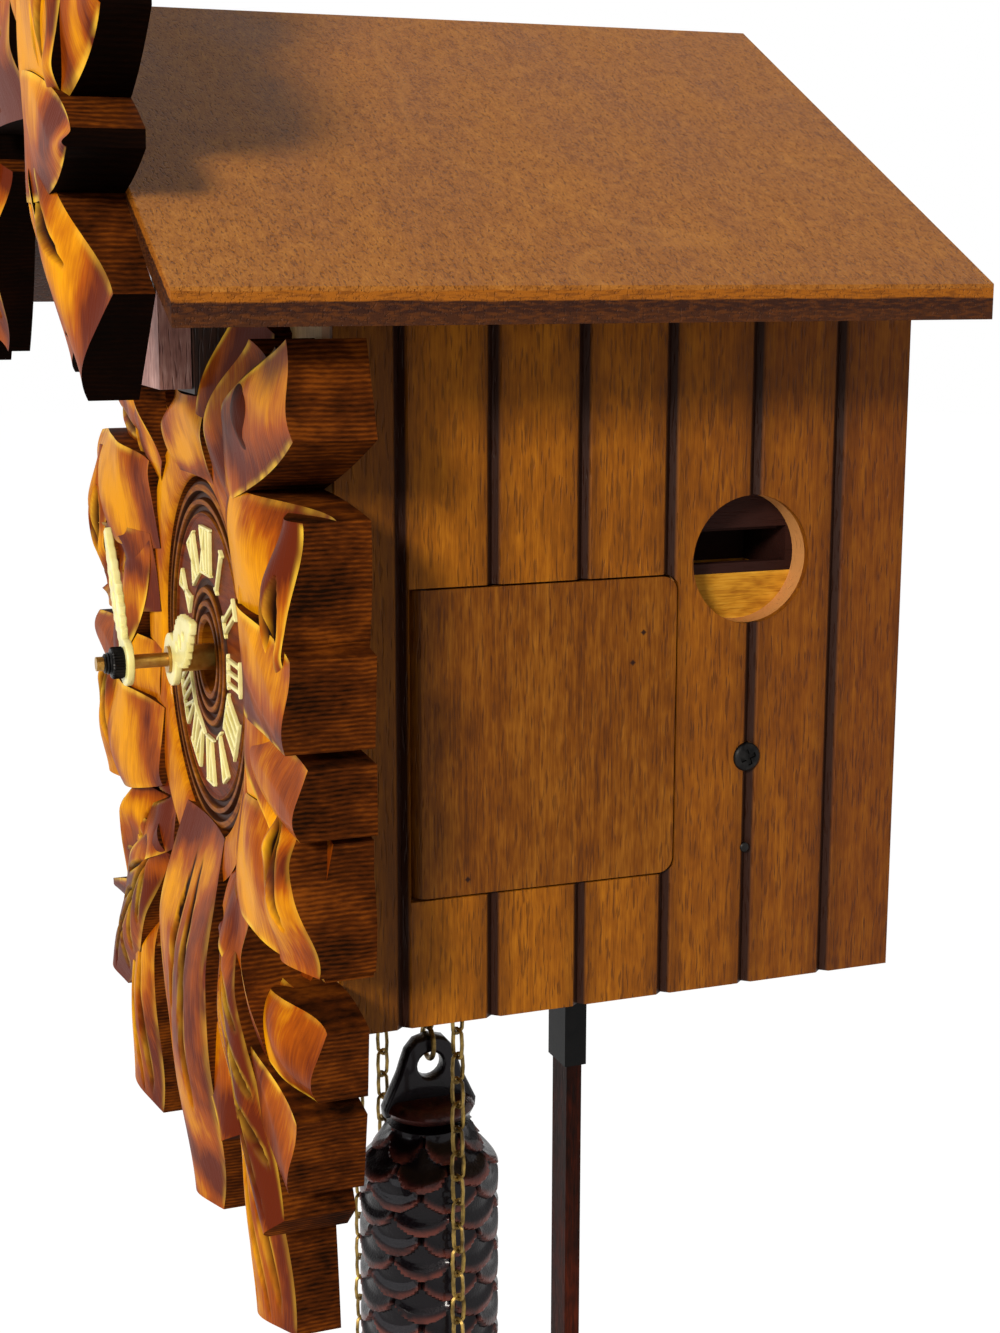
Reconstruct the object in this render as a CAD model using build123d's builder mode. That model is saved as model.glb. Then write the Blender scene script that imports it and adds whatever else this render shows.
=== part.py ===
"""Wall cuckoo clock with a one-day chain movement, carved leaf front and side doors.

All sizes are in millimetres. The origin is the centre of the hook hole on the wall plane:
+X is to the viewer's right, +Y goes into the wall and +Z is up.
Names that end in _height are measured up from the underside of the case.
"""
from build123d import *
from math import atan2, cos, degrees, hypot, pi, radians, sin, sqrt, tan
import os

os.makedirs("parts", exist_ok=True)

# ------------------------------------------------------------------ case
case_width = 138.4
case_depth = 118.7
panel_thickness = 6.5
hook_height = 150.0             # hook hole above the underside of the case
eave_height = 133.9             # lowest edge of the roof
eave_overhang = 32.4
roof_slope = 28.1               # degrees
roof_thickness = 5.6
roof_front_overhang = 35.7
roof_rear_gap = 3.4
ridge_flat = 2.0
groove_width = 3.0
groove_depth = 1.3
groove_pitch = 18.2
groove_count = 6
groove_first = 12.5             # first groove centre behind the front edge
front_board_thickness = 8.0
bottom_thickness = 6.0
back_thickness = 4.0
hanger_width = 34.0
hanger_tall = 18.0
hanger_margin = 13.0            # joint of the back boards below the hanger plate
gable_thickness = 10.0
glue_block = 8.0

# ------------------------------------------------------------------ side doors and sound holes
side_door_front = 14.0          # door opening behind the front edge of the case
side_door_length = 55.0
side_door_low_height = 25.0
side_door_tall = 60.0
side_door_corner = 3.0          # at the free end; the pinned end is square
side_door_gap = 0.4
side_pin_radius = 0.8
side_pin_bite = 5.0             # length of each pin in the board above and below
sound_hole_radius = 12.65
sound_hole_back = 34.1          # from the wall plane
sound_hole_height = 87.0
whistle_screw_height = 47.4
whistle_nail_height = 28.7

# ------------------------------------------------------------------ dial, hands and cuckoo door
dial_height = 61.5
dial_radius = 38.0
dial_thickness = 8.0
dial_hole_radius = 7.5
frame_thickness = 18.0
surround_thickness = 13.0       # door surround on the case front
hinge_room = 7.0                # cut-out beside the hinge of the cuckoo door
frame_gap = 0.4
cuckoo_half_width = 16.0
cuckoo_low_height = 119.0
cuckoo_tall = 34.0
cuckoo_opening_half = 12.0
cuckoo_door_thickness = 6.5
surround_border = 1.0
hour_hand_forward = 14.5        # hand back faces in front of the case front
minute_hand_forward = 24.3
hand_thickness = 1.6
hour_hand_length = 23.0
minute_hand_length = 31.0
nut_radius = 3.4
nut_length = 4.2
arbor_end_forward = 31.6

# ------------------------------------------------------------------ movement
motion_space = 12.0             # front board to front plate
plate_thickness = 1.2
plate_spacing = 28.8
plate_half_width = 45.0
plate_low_height = 18.0
plate_top_height = 110.0
pillar_radius = 2.0
pillar_inset = 4.0
minute_arbor_radius = 1.5
arbor_radius = 0.85
pivot_radius = 0.6
pivot_clearance = 0.08
wheel_thickness = 1.2
sprocket_offset = 26.0          # arbor of each chain wheel beside the centre
chain_radius = 9.5              # centre line of the chain round its wheel
chain_half = 1.4                # half the width of a link
chain_plane = 14.3              # behind the front plate
great_module = 0.7
great_teeth = 66
centre_leaves = 11
centre_module = 0.5
centre_teeth = 72
third_leaves = 6
third_module = 0.45
third_teeth = 66
escape_leaves = 6
escape_teeth = 30
escape_radius = 11.0
anchor_distance = 14.5
motion_module = 0.6
cannon_teeth = 12
minute_wheel_teeth = 36
minute_pinion_teeth = 10
hour_wheel_teeth = 40
hour_pipe_radius = 2.8
strike_pin_leaves = 10
pin_wheel_teeth = 60
fly_leaves = 8

# ------------------------------------------------------------------ pendulum
pendulum_back = 42.7            # rod in front of the wall plane
suspension_radius = 1.2
rod_width = 10.0
rod_thickness = 4.6
rod_top_height = 8.0
rod_cap_height = -41.0
rod_low_height = -176.0
bob_height = -146.0
bob_radius = 21.0
bob_thickness = 8.0
slot_half = 20.0

# ------------------------------------------------------------------ chains and weights
weight_radius = 15.6
weight_length = 126.0
weight_ear_width = 21.0
weight_ear_thickness = 4.0
weight_ear_tall = 17.0
ear_hole_radius = 3.0
near_weight_height = -23.0      # top of the ear of the right-hand weight
far_weight_height = -108.0
near_pull_height = -232.0       # lower end of each free chain
far_pull_height = -262.0
pull_ring_radius = 6.0
chain_hole_radius = 3.2

# ------------------------------------------------------------------ whistles, bird and gong
whistle_width = 20.4
whistle_depth = 27.0
whistle_low_height = 10.0
whistle_tall = 93.0
whistle_wall = 2.5
bellows_length = 50.0
bellows_board = 3.0
bellows_fold = 8.0
bellows_front_back = 64.7       # front edge of the bellows in front of the wall plane
bird_length = 24.0
bird_radius = 6.6
bird_height = 138.2
bird_setback = 5.0              # beak behind the cuckoo door
guide_radius = 1.2
guide_height = 126.0
guide_length = 62.0
carriage_setback = 34.0         # slide block behind the front board
peg_setback = 17.0              # peg behind the tip of the beak
gong_height = 60.0
gong_radius = 27.0
gong_wire_radius = 1.1
hammer_rise = 34.0              # hammer arbor and head above the middle of the gong
hammer_head_rise = 6.0

# ------------------------------------------------------------------ crown
crown_thickness = 15.0
middle_leaf_height = 212.0
bird_rise = 28.0                # middle of the bird's head above the middle leaf
bird_breast = 25.5              # half the length of its body
bird_half_width = 13.0
bird_head_radius = 8.5
hook_radius = 3.5
hanger_thickness = 1.5

# ------------------------------------------------------------------ places that follow
fit = 0.05                      # radial running clearance
touch_gap = 0.3                 # space between things that move past each other
case_bottom = -hook_height
case_front = -case_depth
outer = case_width / 2
inner = outer - panel_thickness
eave_x = outer + eave_overhang
slope = radians(roof_slope)
roof_rise = roof_thickness / cos(slope)
roof_front = case_front - roof_front_overhang
front_back = case_front + front_board_thickness
door_seat = case_front - surround_thickness
plate_front = front_back + motion_space
plate_inside = plate_front + plate_thickness
rear_inside = plate_inside + plate_spacing
plate_rear = rear_inside + plate_thickness
dial_z = case_bottom + dial_height


def high(height):
    """Z of a height above the underside of the case."""
    return case_bottom + height


def roof_under(x):
    """Z of the underside of the roof at a distance from the middle."""
    return high(eave_height) + (eave_x - abs(x)) * tan(slope)


def upright(y):
    """Drawing plane seen from the front at depth y; extruding it comes forward."""
    return Plane.XZ.offset(-y)


def write(piece, label):
    piece.part.label = label
    export_step(piece.part, f"parts/{label}.step")


def rod(x, z, radius, y_front, y_back, mode=Mode.ADD):
    """Round bar along Y."""
    with BuildSketch(upright(y_back)) as section:
        with Locations((x, z)):
            Circle(radius)
    extrude(section.sketch, amount=y_back - y_front, mode=mode)


def gear(x, z, teeth, module, y_front, thickness, toward=0.0, gap=False, spokes=0):
    """Spur gear along Y with slim teeth.

    toward is the direction, in degrees, of the gear that it meets, and gap puts a space
    there in place of a tooth.
    """
    pitch_radius = module * teeth / 2
    tip = pitch_radius + 0.62 * module
    root = pitch_radius - 1.05 * module
    step = 2 * pi / teeth
    turn = radians(toward) + (step / 2 if gap else 0)
    points = []
    for tooth in range(teeth):
        middle = turn + tooth * step
        for radius, share in ((root, -0.25), (tip, -0.06), (tip, 0.06), (root, 0.25)):
            angle = middle + share * step
            points.append((x + radius * cos(angle), z + radius * sin(angle)))
    with BuildSketch(upright(y_front + thickness)) as section:
        with BuildLine():
            Polyline(*points, close=True)
        make_face()
        for arm in range(spokes):
            angle = 2 * pi * arm / spokes
            with Locations((x + 0.56 * root * cos(angle), z + 0.56 * root * sin(angle))):
                Circle(0.25 * root, mode=Mode.SUBTRACT)
    extrude(section.sketch, amount=thickness)


def door_outline(length, tall):
    """Door face in the current sketch, round at its free end and square at its pinned end."""
    RectangleRounded(length, tall, side_door_corner)
    with Locations((-length / 4, 0)):
        Rectangle(length / 2, tall)


def direction(start, end):
    return degrees(atan2(end[1] - start[1], end[0] - start[0]))


def pivoted_arbor(place, y_front=plate_front, y_back=plate_rear):
    """Arbor between the plates with its two pivots."""
    rod(*place, arbor_radius, plate_inside + touch_gap, rear_inside - touch_gap)
    rod(*place, pivot_radius, y_front, y_back)


# gear centres, seen from the front
great_distance = great_module * (great_teeth + centre_leaves) / 2
centre_place = (0.0, dial_z)
sprocket_z = dial_z - sqrt(great_distance**2 - sprocket_offset**2)
time_place = (sprocket_offset, sprocket_z)
strike_place = (-sprocket_offset, sprocket_z)
third_distance = centre_module * (centre_teeth + third_leaves) / 2
third_turn = 128.0
third_place = (third_distance * cos(radians(third_turn)), dial_z + third_distance * sin(radians(third_turn)))
escape_distance = third_module * (third_teeth + escape_leaves) / 2
escape_z = third_place[1] + sqrt(escape_distance**2 - third_place[0] ** 2)
escape_place = (0.0, escape_z)
swing_z = escape_z + anchor_distance
swing_place = (0.0, swing_z)
motion_distance = motion_module * (cannon_teeth + minute_wheel_teeth) / 2
hour_module = 2 * motion_distance / (minute_pinion_teeth + hour_wheel_teeth)
minute_wheel_place = (-motion_distance * cos(radians(45)), dial_z - motion_distance * sin(radians(45)))
pin_turn = 100.0
pin_distance = great_module * (great_teeth + strike_pin_leaves) / 2
pin_place = (
    strike_place[0] + pin_distance * cos(radians(pin_turn)),
    sprocket_z + pin_distance * sin(radians(pin_turn)),
)
fly_turn = 58.0
fly_distance = centre_module * (pin_wheel_teeth + fly_leaves) / 2
fly_place = (
    pin_place[0] + fly_distance * cos(radians(fly_turn)),
    pin_place[1] + fly_distance * sin(radians(fly_turn)),
)
arbor_places = (
    time_place, strike_place, centre_place, third_place,
    escape_place, swing_place, pin_place, fly_place,
)

# wheel planes behind the inner face of the front plate
centre_plane = plate_inside + 2.8
third_plane = plate_inside + 6.8
sprocket_plane = plate_front + chain_plane + plate_thickness
time_plane = plate_inside + 19.8
escape_plane = plate_inside + 22.8
strike_plane = plate_inside + 24.6
crutch_plane = plate_inside + 26.4

sides = ((1, "right"), (-1, "left"))

# ------------------------------------------------------------------ case boards
side_door_back_y = case_front + side_door_front + side_door_length
side_door_middle_y = side_door_back_y - side_door_length / 2
side_door_middle_z = high(side_door_low_height + side_door_tall / 2)
side_pin_y = case_front + side_door_front + side_door_gap + panel_thickness / 2
sound_y = -sound_hole_back
sound_z = high(sound_hole_height)
screw_places = ((whistle_screw_height, 1.5, 2.9), (whistle_nail_height, 0.7, 1.1))

for side, hand in sides:
    with BuildPart() as side_panel:
        with BuildSketch(upright(0)):
            with BuildLine():
                Polyline(
                    (side * inner, case_bottom),
                    (side * outer, case_bottom),
                    (side * outer, roof_under(outer)),
                    (side * inner, roof_under(inner)),
                    close=True,
                )
            make_face()
        extrude(amount=case_depth)
        with BuildSketch(Plane.XY.offset(case_bottom)):
            for number in range(groove_count):
                middle = case_front + groove_first + number * groove_pitch
                with BuildLine():
                    Polyline(
                        (side * outer, middle - groove_width / 2),
                        (side * (outer - groove_depth), middle),
                        (side * outer, middle + groove_width / 2),
                        close=True,
                    )
                make_face()
        extrude(amount=roof_under(outer) - case_bottom, mode=Mode.SUBTRACT)
        with BuildSketch(Plane.YZ.offset(side * outer)):
            with Locations((side_door_middle_y, side_door_middle_z)):
                door_outline(side_door_length, side_door_tall)
            with Locations((sound_y, sound_z)):
                Circle(sound_hole_radius)
            for height, radius, _ in screw_places:
                with Locations((sound_y, high(height))):
                    Circle(radius + fit)
        extrude(amount=-side * panel_thickness, mode=Mode.SUBTRACT)
        with BuildSketch(Plane.YZ.offset(side * outer)):
            with Locations((sound_y, high(whistle_screw_height))):
                Circle(screw_places[0][2] + fit)
        extrude(amount=-side * 2.0, mode=Mode.SUBTRACT)
        with BuildSketch(Plane.XY.offset(side_door_middle_z - side_door_tall / 2 - side_pin_bite)):
            with Locations((side * (outer - panel_thickness / 2), side_pin_y)):
                Circle(side_pin_radius)
        extrude(amount=side_door_tall + 2 * side_pin_bite, mode=Mode.SUBTRACT)
    write(side_panel, f"side_panel_{hand}")

    with BuildPart() as side_door:
        door_length = side_door_length - 2 * side_door_gap
        door_tall = side_door_tall - 2 * side_door_gap
        door_low = side_door_middle_z - door_tall / 2
        with BuildSketch(Plane.YZ.offset(side * outer)):
            with Locations((side_door_middle_y, side_door_middle_z)):
                door_outline(door_length, door_tall)
        extrude(amount=-side * panel_thickness)
        with BuildSketch(Plane.XY.offset(door_low)):
            with Locations((side * (outer - panel_thickness / 2), side_pin_y)):
                Rectangle(panel_thickness, panel_thickness, align=(Align.CENTER, Align.MAX))
                Circle(panel_thickness / 2, mode=Mode.SUBTRACT)
        extrude(amount=door_tall, mode=Mode.SUBTRACT)
        with BuildSketch(Plane.XY.offset(door_low)):
            with Locations((side * (outer - panel_thickness / 2), side_pin_y)):
                Circle(side_pin_radius + fit)
        extrude(amount=door_tall, mode=Mode.SUBTRACT)
    write(side_door, f"side_door_{hand}")

opening_low = high(cuckoo_low_height + 3)
opening_tall = cuckoo_tall - 6
opening_middle_z = opening_low + opening_tall / 2

with BuildPart() as front_board:
    with BuildSketch(upright(front_back)):
        with BuildLine():
            Polyline(
                (-inner, case_bottom),
                (inner, case_bottom),
                (inner, roof_under(inner)),
                (0, roof_under(0)),
                (-inner, roof_under(inner)),
                close=True,
            )
        make_face()
        with Locations((0, dial_z)):
            Circle(dial_hole_radius + 0.5, mode=Mode.SUBTRACT)
        with Locations((0, opening_middle_z)):
            Rectangle(2 * cuckoo_opening_half, opening_tall, mode=Mode.SUBTRACT)
    extrude(amount=front_board_thickness)
write(front_board, "front_board")

chain_y = sprocket_plane
slot_y = -pendulum_back
with BuildPart() as bottom_board:
    with BuildSketch(Plane.XY.offset(case_bottom)):
        with Locations((0, front_back / 2)):
            Rectangle(2 * inner, -front_back)
        for side, hand in sides:
            for reach in (-chain_radius, chain_radius):
                with Locations((side * (sprocket_offset + reach), chain_y)):
                    Circle(chain_hole_radius, mode=Mode.SUBTRACT)
        with Locations((0, slot_y)):
            Rectangle(2 * slot_half, rod_thickness + 4, mode=Mode.SUBTRACT)
    extrude(amount=bottom_thickness)
write(bottom_board, "bottom_board")

back_low = case_bottom + bottom_thickness
back_top = -hanger_tall / 2 - hanger_margin
with BuildPart() as back_panel:
    with BuildSketch(upright(0)):
        with Locations((0, (back_low + back_top) / 2)):
            Rectangle(2 * inner, back_top - back_low)
    extrude(amount=back_thickness)
write(back_panel, "back_panel")

with BuildPart() as back_gable:
    with BuildSketch(upright(0)):
        with BuildLine():
            Polyline(
                (-inner, back_top),
                (inner, back_top),
                (inner, roof_under(inner)),
                (0, roof_under(0)),
                (-inner, roof_under(inner)),
                close=True,
            )
        make_face()
    extrude(amount=gable_thickness)
    with BuildSketch(upright(0)):
        Rectangle(hanger_width, hanger_tall)
    extrude(amount=hanger_thickness, mode=Mode.SUBTRACT)
    with BuildSketch(upright(0)):
        Rectangle(4 * hook_radius, 4 * hook_radius)
    extrude(amount=gable_thickness - 2, mode=Mode.SUBTRACT)
    for side, hand in sides:
        rod(side * (hanger_width / 2 - 4), 0, 1.0, -gable_thickness + 1, 0, mode=Mode.SUBTRACT)
write(back_gable, "back_gable")

with BuildPart() as hanger_plate:
    with BuildSketch(upright(0)):
        Rectangle(hanger_width, hanger_tall)
        Circle(hook_radius, mode=Mode.SUBTRACT)
        for side, hand in sides:
            with Locations((side * (hanger_width / 2 - 4), 0)):
                Circle(1.8, mode=Mode.SUBTRACT)
    extrude(amount=hanger_thickness)
write(hanger_plate, "hanger_plate")

with BuildPart() as wood_screws:
    for side, hand in sides:
        x = side * (hanger_width / 2 - 4)
        rod(x, 0, 1.8, -hanger_thickness, -0.1)
        rod(x, 0, 1.0, -gable_thickness + 1, -hanger_thickness)
        for height, radius, head_radius in screw_places:
            with BuildSketch(Plane.YZ.offset(side * (outer - 2.0))):
                with Locations((sound_y, high(height))):
                    Circle(radius)
            extrude(amount=-side * (panel_thickness - 2.0))
            with BuildSketch(Plane.YZ.offset(side * (outer - 2.0))):
                with Locations((sound_y, high(height))):
                    Circle(head_radius if radius > 1 else radius)
            extrude(amount=side * 1.8)
write(wood_screws, "wood_screws")

with BuildPart() as glue_blocks:
    with BuildSketch(Plane.XY.offset(case_bottom + bottom_thickness)):
        for side, hand in sides:
            for y in (front_back + glue_block / 2, -back_thickness - glue_block / 2):
                with Locations((side * (inner - glue_block / 2), y)):
                    Rectangle(glue_block, glue_block)
    extrude(amount=glue_block)
write(glue_blocks, "glue_blocks")

for side, hand in sides:
    with BuildPart() as roof_panel:
        with BuildSketch(upright(-roof_rear_gap)):
            ridge_z = roof_under(ridge_flat) + roof_rise
            with BuildLine():
                Polyline(
                    (0, roof_under(0)),
                    (side * eave_x, high(eave_height)),
                    (side * eave_x, high(eave_height) + roof_rise),
                    (side * ridge_flat, ridge_z),
                    (0, ridge_z),
                    close=True,
                )
            make_face()
        extrude(amount=-roof_rear_gap - roof_front)
    write(roof_panel, f"roof_panel_{hand}")

# ------------------------------------------------------------------ carved front
door_low = high(cuckoo_low_height)
latch_radius = 0.6
latch_lug = 3.6
latch_x = cuckoo_half_width + surround_border + latch_lug / 2
latch_z = door_low + cuckoo_tall - 4
latch_reach = cuckoo_door_thickness + 2.2
latch_drop = 12.0


def lobe(base, tip, base_width, belly_width, tip_width):
    """Blunt leaf lobe as a face in the current sketch, with arcs for its long sides."""
    length = hypot(tip[0] - base[0], tip[1] - base[1])
    along = ((tip[0] - base[0]) / length, (tip[1] - base[1]) / length)
    across = (-along[1], along[0])

    def spot(share, half):
        return (
            base[0] + along[0] * length * share + across[0] * half,
            base[1] + along[1] * length * share + across[1] * half,
        )

    belly = belly_width / 2
    with BuildLine() as edge:
        Polyline(spot(1, -tip_width / 2), spot(1, tip_width / 2))
        ThreePointArc(spot(1, tip_width / 2), spot(0.55, belly), spot(0, base_width / 2))
        Polyline(spot(0, base_width / 2), spot(0, -base_width / 2))
        ThreePointArc(spot(0, -base_width / 2), spot(0.55, -belly), spot(1, -tip_width / 2))
    make_face(edge.edges())


# lobes of the carved frame: base and tip as (x, height), then widths at base, belly and tip
right_lobes = (
    ((30, 96), (62, 126), 14, 19, 12),
    ((36, 104), (92, 123.2), 14, 19, 17.5),
    ((36, 92), (90, 90.5), 20, 24, 21),
    ((40, 74), (92.5, 69.6), 18, 20, 16.6),
    ((40, 52), (92.7, 52.3), 14, 15, 12.7),
    ((36, 34), (90, 31.7), 18, 27, 25.5),
    ((26, 22), (64, 8), 18, 20, 14),
    ((36, 6), (85.5, 1.6), 12, 14, 12.8),
    ((34, -8), (83.5, -16.6), 14, 16, 15.5),
    ((44, 8), (55.5, -63), 18, 23, 21),
)
left_lobes = (
    ((-30, 96), (-60, 127), 14, 20, 13),
    ((-36, 104), (-91, 122), 14, 19, 17),
    ((-36, 90), (-91, 93), 20, 25, 20),
    ((-40, 74), (-92, 71), 18, 20, 16),
    ((-40, 50), (-92, 51), 14, 16, 13),
    ((-36, 34), (-90, 30), 18, 26, 24),
    ((-26, 22), (-63, 9), 18, 20, 14),
    ((-36, 8), (-86, 3), 12, 15, 13),
    ((-34, -6), (-82, -18), 14, 16, 15),
    ((-46, 8), (-62, -60), 18, 24, 21),
)
bottom_lobes = (
    ((0, 26), (0, -61), 34, 40, 16),
    ((0, 14), (30, -34), 22, 22, 12),
    ((0, 14), (-30, -34), 22, 22, 12),
)
bridge_lobes = (
    ((0, 100), (0, 118), 34, 37, 30),
    ((14, 98), (38, 134), 16, 17, 12),
    ((-14, 98), (-38, 134), 16, 17, 12),
)
ring_radius = 48.0
surround_half = cuckoo_half_width + surround_border
with BuildPart() as carved_frame:
    with BuildSketch(upright(case_front)) as frame_outline:
        with Locations((0, dial_z)):
            Circle(ring_radius)
        for base, tip, base_width, belly_width, tip_width in (
            *right_lobes,
            *left_lobes,
            *bottom_lobes,
            *bridge_lobes,
        ):
            lobe((base[0], high(base[1])), (tip[0], high(tip[1])), base_width, belly_width, tip_width)
        with Locations((0, dial_z)):
            Circle(dial_radius + frame_gap, mode=Mode.SUBTRACT)
        with Locations((surround_half + frame_gap, high(cuckoo_low_height + cuckoo_tall / 2))):
            Rectangle(
                2 * (surround_half + frame_gap) + hinge_room,
                cuckoo_tall + 2 * (surround_border + frame_gap),
                align=(Align.MAX, Align.CENTER),
                mode=Mode.SUBTRACT,
            )
        with Locations((latch_x, latch_z)):
            Rectangle(latch_lug + 2 * frame_gap, latch_lug + 2 + 2 * frame_gap, mode=Mode.SUBTRACT)
    extrude(amount=frame_thickness)
write(carved_frame, "carved_frame")

# lobes of the crown, in the same form
crown_lobes = (
    ((40, 168), (82.5, 130), 16, 18, 24),
    ((-40, 168), (-82.5, 130), 16, 18, 24),
    ((36, 166), (53, 128), 18, 24, 18),
    ((-36, 166), (-53, 128), 18, 24, 18),
    ((34, 166), (86.5, 163.3), 18, 20, 3),
    ((-34, 166), (-86.5, 163.3), 18, 20, 3),
    ((28, 184), (94, 187), 22, 38, 8),
    ((-28, 184), (-94, 187), 22, 38, 8),
    ((18, 190), (62, 216), 22, 28, 16),
    ((-18, 190), (-62, 216), 22, 28, 16),
    ((0, 170), (0, middle_leaf_height), 58, 50, 30),
    ((8, 200), (34, 236), 16, 22, 12),
    ((-8, 200), (-34, 236), 16, 22, 12),
)
bird_head = high(middle_leaf_height + bird_rise)
with BuildPart() as crown:
    with BuildSketch(upright(roof_front)):
        for base, tip, base_width, belly_width, tip_width in crown_lobes:
            lobe((base[0], high(base[1])), (tip[0], high(tip[1])), base_width, belly_width, tip_width)
        with Locations((0, bird_head - bird_breast)):
            Ellipse(bird_half_width, bird_breast)
        with Locations((0, bird_head)):
            Circle(bird_head_radius)
        lobe((0, bird_head + 2), (13, bird_head + 8), 9, 6, 2)
    extrude(amount=crown_thickness)
write(crown, "crown")

with BuildPart() as dial_disc:
    with BuildSketch(upright(case_front)):
        with Locations((0, dial_z)):
            Circle(dial_radius)
            Circle(dial_hole_radius, mode=Mode.SUBTRACT)
    extrude(amount=dial_thickness)
    with BuildSketch(upright(case_front - dial_thickness)):
        for groove in (dial_radius - 4.5, dial_radius - 7, dial_hole_radius + 3, dial_hole_radius + 5.5):
            with Locations((0, dial_z)):
                Circle(groove + 0.5)
                Circle(groove - 0.5, mode=Mode.SUBTRACT)
    extrude(amount=-0.8, mode=Mode.SUBTRACT)
write(dial_disc, "dial_disc")

numeral_words = ("XII", "I", "II", "III", "IIII", "V", "VI", "VII", "VIII", "IX", "X", "XI")
numeral_tall = 10.5
numeral_radius = 23.0
stroke = 1.3
with BuildPart() as numerals:
    with BuildSketch(upright(case_front - dial_thickness)) as numeral_faces:
        for hour, word in enumerate(numeral_words):
            turn = radians(90 - 30 * hour)
            widths = {"I": 2.1, "V": 4.6, "X": 4.6}
            start = -sum(widths[letter] for letter in word) / 2
            for letter in word:
                middle = start + widths[letter] / 2
                start += widths[letter]
                if letter == "I":
                    strokes = [(middle, 0.0)]
                elif letter == "V":
                    strokes = [(middle - 0.95, 12.0), (middle + 0.95, -12.0)]
                else:
                    strokes = [(middle, 20.0), (middle, -20.0)]
                for across, lean in strokes:
                    x = numeral_radius * cos(turn) + across * sin(turn)
                    z = numeral_radius * sin(turn) - across * cos(turn)
                    with Locations(Location((x, dial_z + z), degrees(turn) - 90 + lean)):
                        Rectangle(stroke, numeral_tall)
    extrude(amount=0.8)
write(numerals, "numerals")

# ------------------------------------------------------------------ cuckoo door
door_middle_z = door_low + cuckoo_tall / 2
hinge_x = -(cuckoo_half_width + 1.0)
hinge_y = door_seat - 1.6
hinge_pin_radius = 0.5
knuckle_radius = 1.2

with BuildPart() as door_surround:
    with BuildSketch(upright(case_front)):
        with Locations((0, door_middle_z)):
            Rectangle(2 * (cuckoo_half_width + surround_border), cuckoo_tall + 2 * surround_border)
        with Locations((latch_x, latch_z)):
            Rectangle(latch_lug, latch_lug + 2)
            Circle(latch_radius + fit, mode=Mode.SUBTRACT)
        with Locations((0, opening_middle_z)):
            Rectangle(2 * cuckoo_opening_half, opening_tall, mode=Mode.SUBTRACT)
    extrude(amount=surround_thickness)
write(door_surround, "door_surround")

with BuildPart() as cuckoo_door:
    with BuildSketch(upright(door_seat - touch_gap)):
        with Locations((0, door_middle_z)):
            Rectangle(2 * cuckoo_half_width, cuckoo_tall)
    extrude(amount=cuckoo_door_thickness)
    with BuildSketch(Plane.XY.offset(door_low + 2)):
        with Locations((hinge_x, hinge_y)):
            Circle(knuckle_radius)
            Circle(hinge_pin_radius + fit, mode=Mode.SUBTRACT)
        with Locations((hinge_x + 0.9, hinge_y)):
            Rectangle(1.0, 1.2, align=(Align.MIN, Align.CENTER))
        with Locations((hinge_x, hinge_y)):
            Circle(hinge_pin_radius + fit, mode=Mode.SUBTRACT)
    extrude(amount=cuckoo_tall - 4)
write(cuckoo_door, "cuckoo_door")

with BuildPart() as hinge_pins:
    with BuildSketch(Plane.XY.offset(door_low - surround_border)):
        with Locations((hinge_x, hinge_y)):
            Circle(hinge_pin_radius)
    extrude(amount=cuckoo_tall + 2 * surround_border)
    for z in (door_low - surround_border, door_low + cuckoo_tall + surround_border - 1.6):
        with BuildSketch(Plane.XY.offset(z)):
            with Locations((hinge_x + 0.2, hinge_y)):
                Rectangle(1.0, door_seat - hinge_y, align=(Align.CENTER, Align.MIN))
        extrude(amount=1.6)
    with BuildSketch(Plane.XY.offset(side_door_middle_z - side_door_tall / 2 - side_pin_bite)):
        for side, hand in sides:
            with Locations((side * (outer - panel_thickness / 2), side_pin_y)):
                Circle(side_pin_radius)
    extrude(amount=side_door_tall + 2 * side_pin_bite)
write(hinge_pins, "hinge_pins")

with BuildPart() as door_latch_wire:
    rod(latch_x, latch_z, latch_radius, door_seat - latch_reach, case_front)
    with BuildSketch(Plane.XY.offset(latch_z)):
        with Locations((latch_x, door_seat - latch_reach + latch_radius)):
            Circle(latch_radius)
    extrude(amount=-latch_drop)
write(door_latch_wire, "door_latch_wire")

# ------------------------------------------------------------------ hands
hour_hand_back = case_front - hour_hand_forward
minute_hand_back = case_front - minute_hand_forward


def hand_outline(turn, length, hub_radius, hole_radius, width):
    """Leaf-cut hand from the middle of the dial, at a clock angle in degrees."""
    angle = radians(90 - turn)
    along = (cos(angle), sin(angle))
    end = (length * along[0], dial_z + length * along[1])
    belly = (0.72 * length * along[0], dial_z + 0.72 * length * along[1])
    neck = (0.34 * length * along[0], dial_z + 0.34 * length * along[1])
    lobe((0, dial_z), end, 2.2, 2.0, 0.8)
    for middle, share in ((neck, 0.75), (belly, 1.0)):
        with Locations(Location(middle, 90 - turn)):
            Ellipse(0.17 * length, width * share / 2)
    with Locations((0, dial_z)):
        Circle(hub_radius)
        Circle(hole_radius, mode=Mode.SUBTRACT)


hour_hand_turn = 62.0
minute_hand_turn = -33.0
with BuildPart() as hour_hand:
    with BuildSketch(upright(hour_hand_back)):
        hand_outline(hour_hand_turn, hour_hand_length, 5.0, hour_pipe_radius + fit, 8.0)
    extrude(amount=hand_thickness)
write(hour_hand, "hour_hand")

with BuildPart() as minute_hand:
    with BuildSketch(upright(minute_hand_back)):
        hand_outline(minute_hand_turn, minute_hand_length, 4.2, minute_arbor_radius + fit, 6.5)
    extrude(amount=hand_thickness)
write(minute_hand, "minute_hand")

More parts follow.
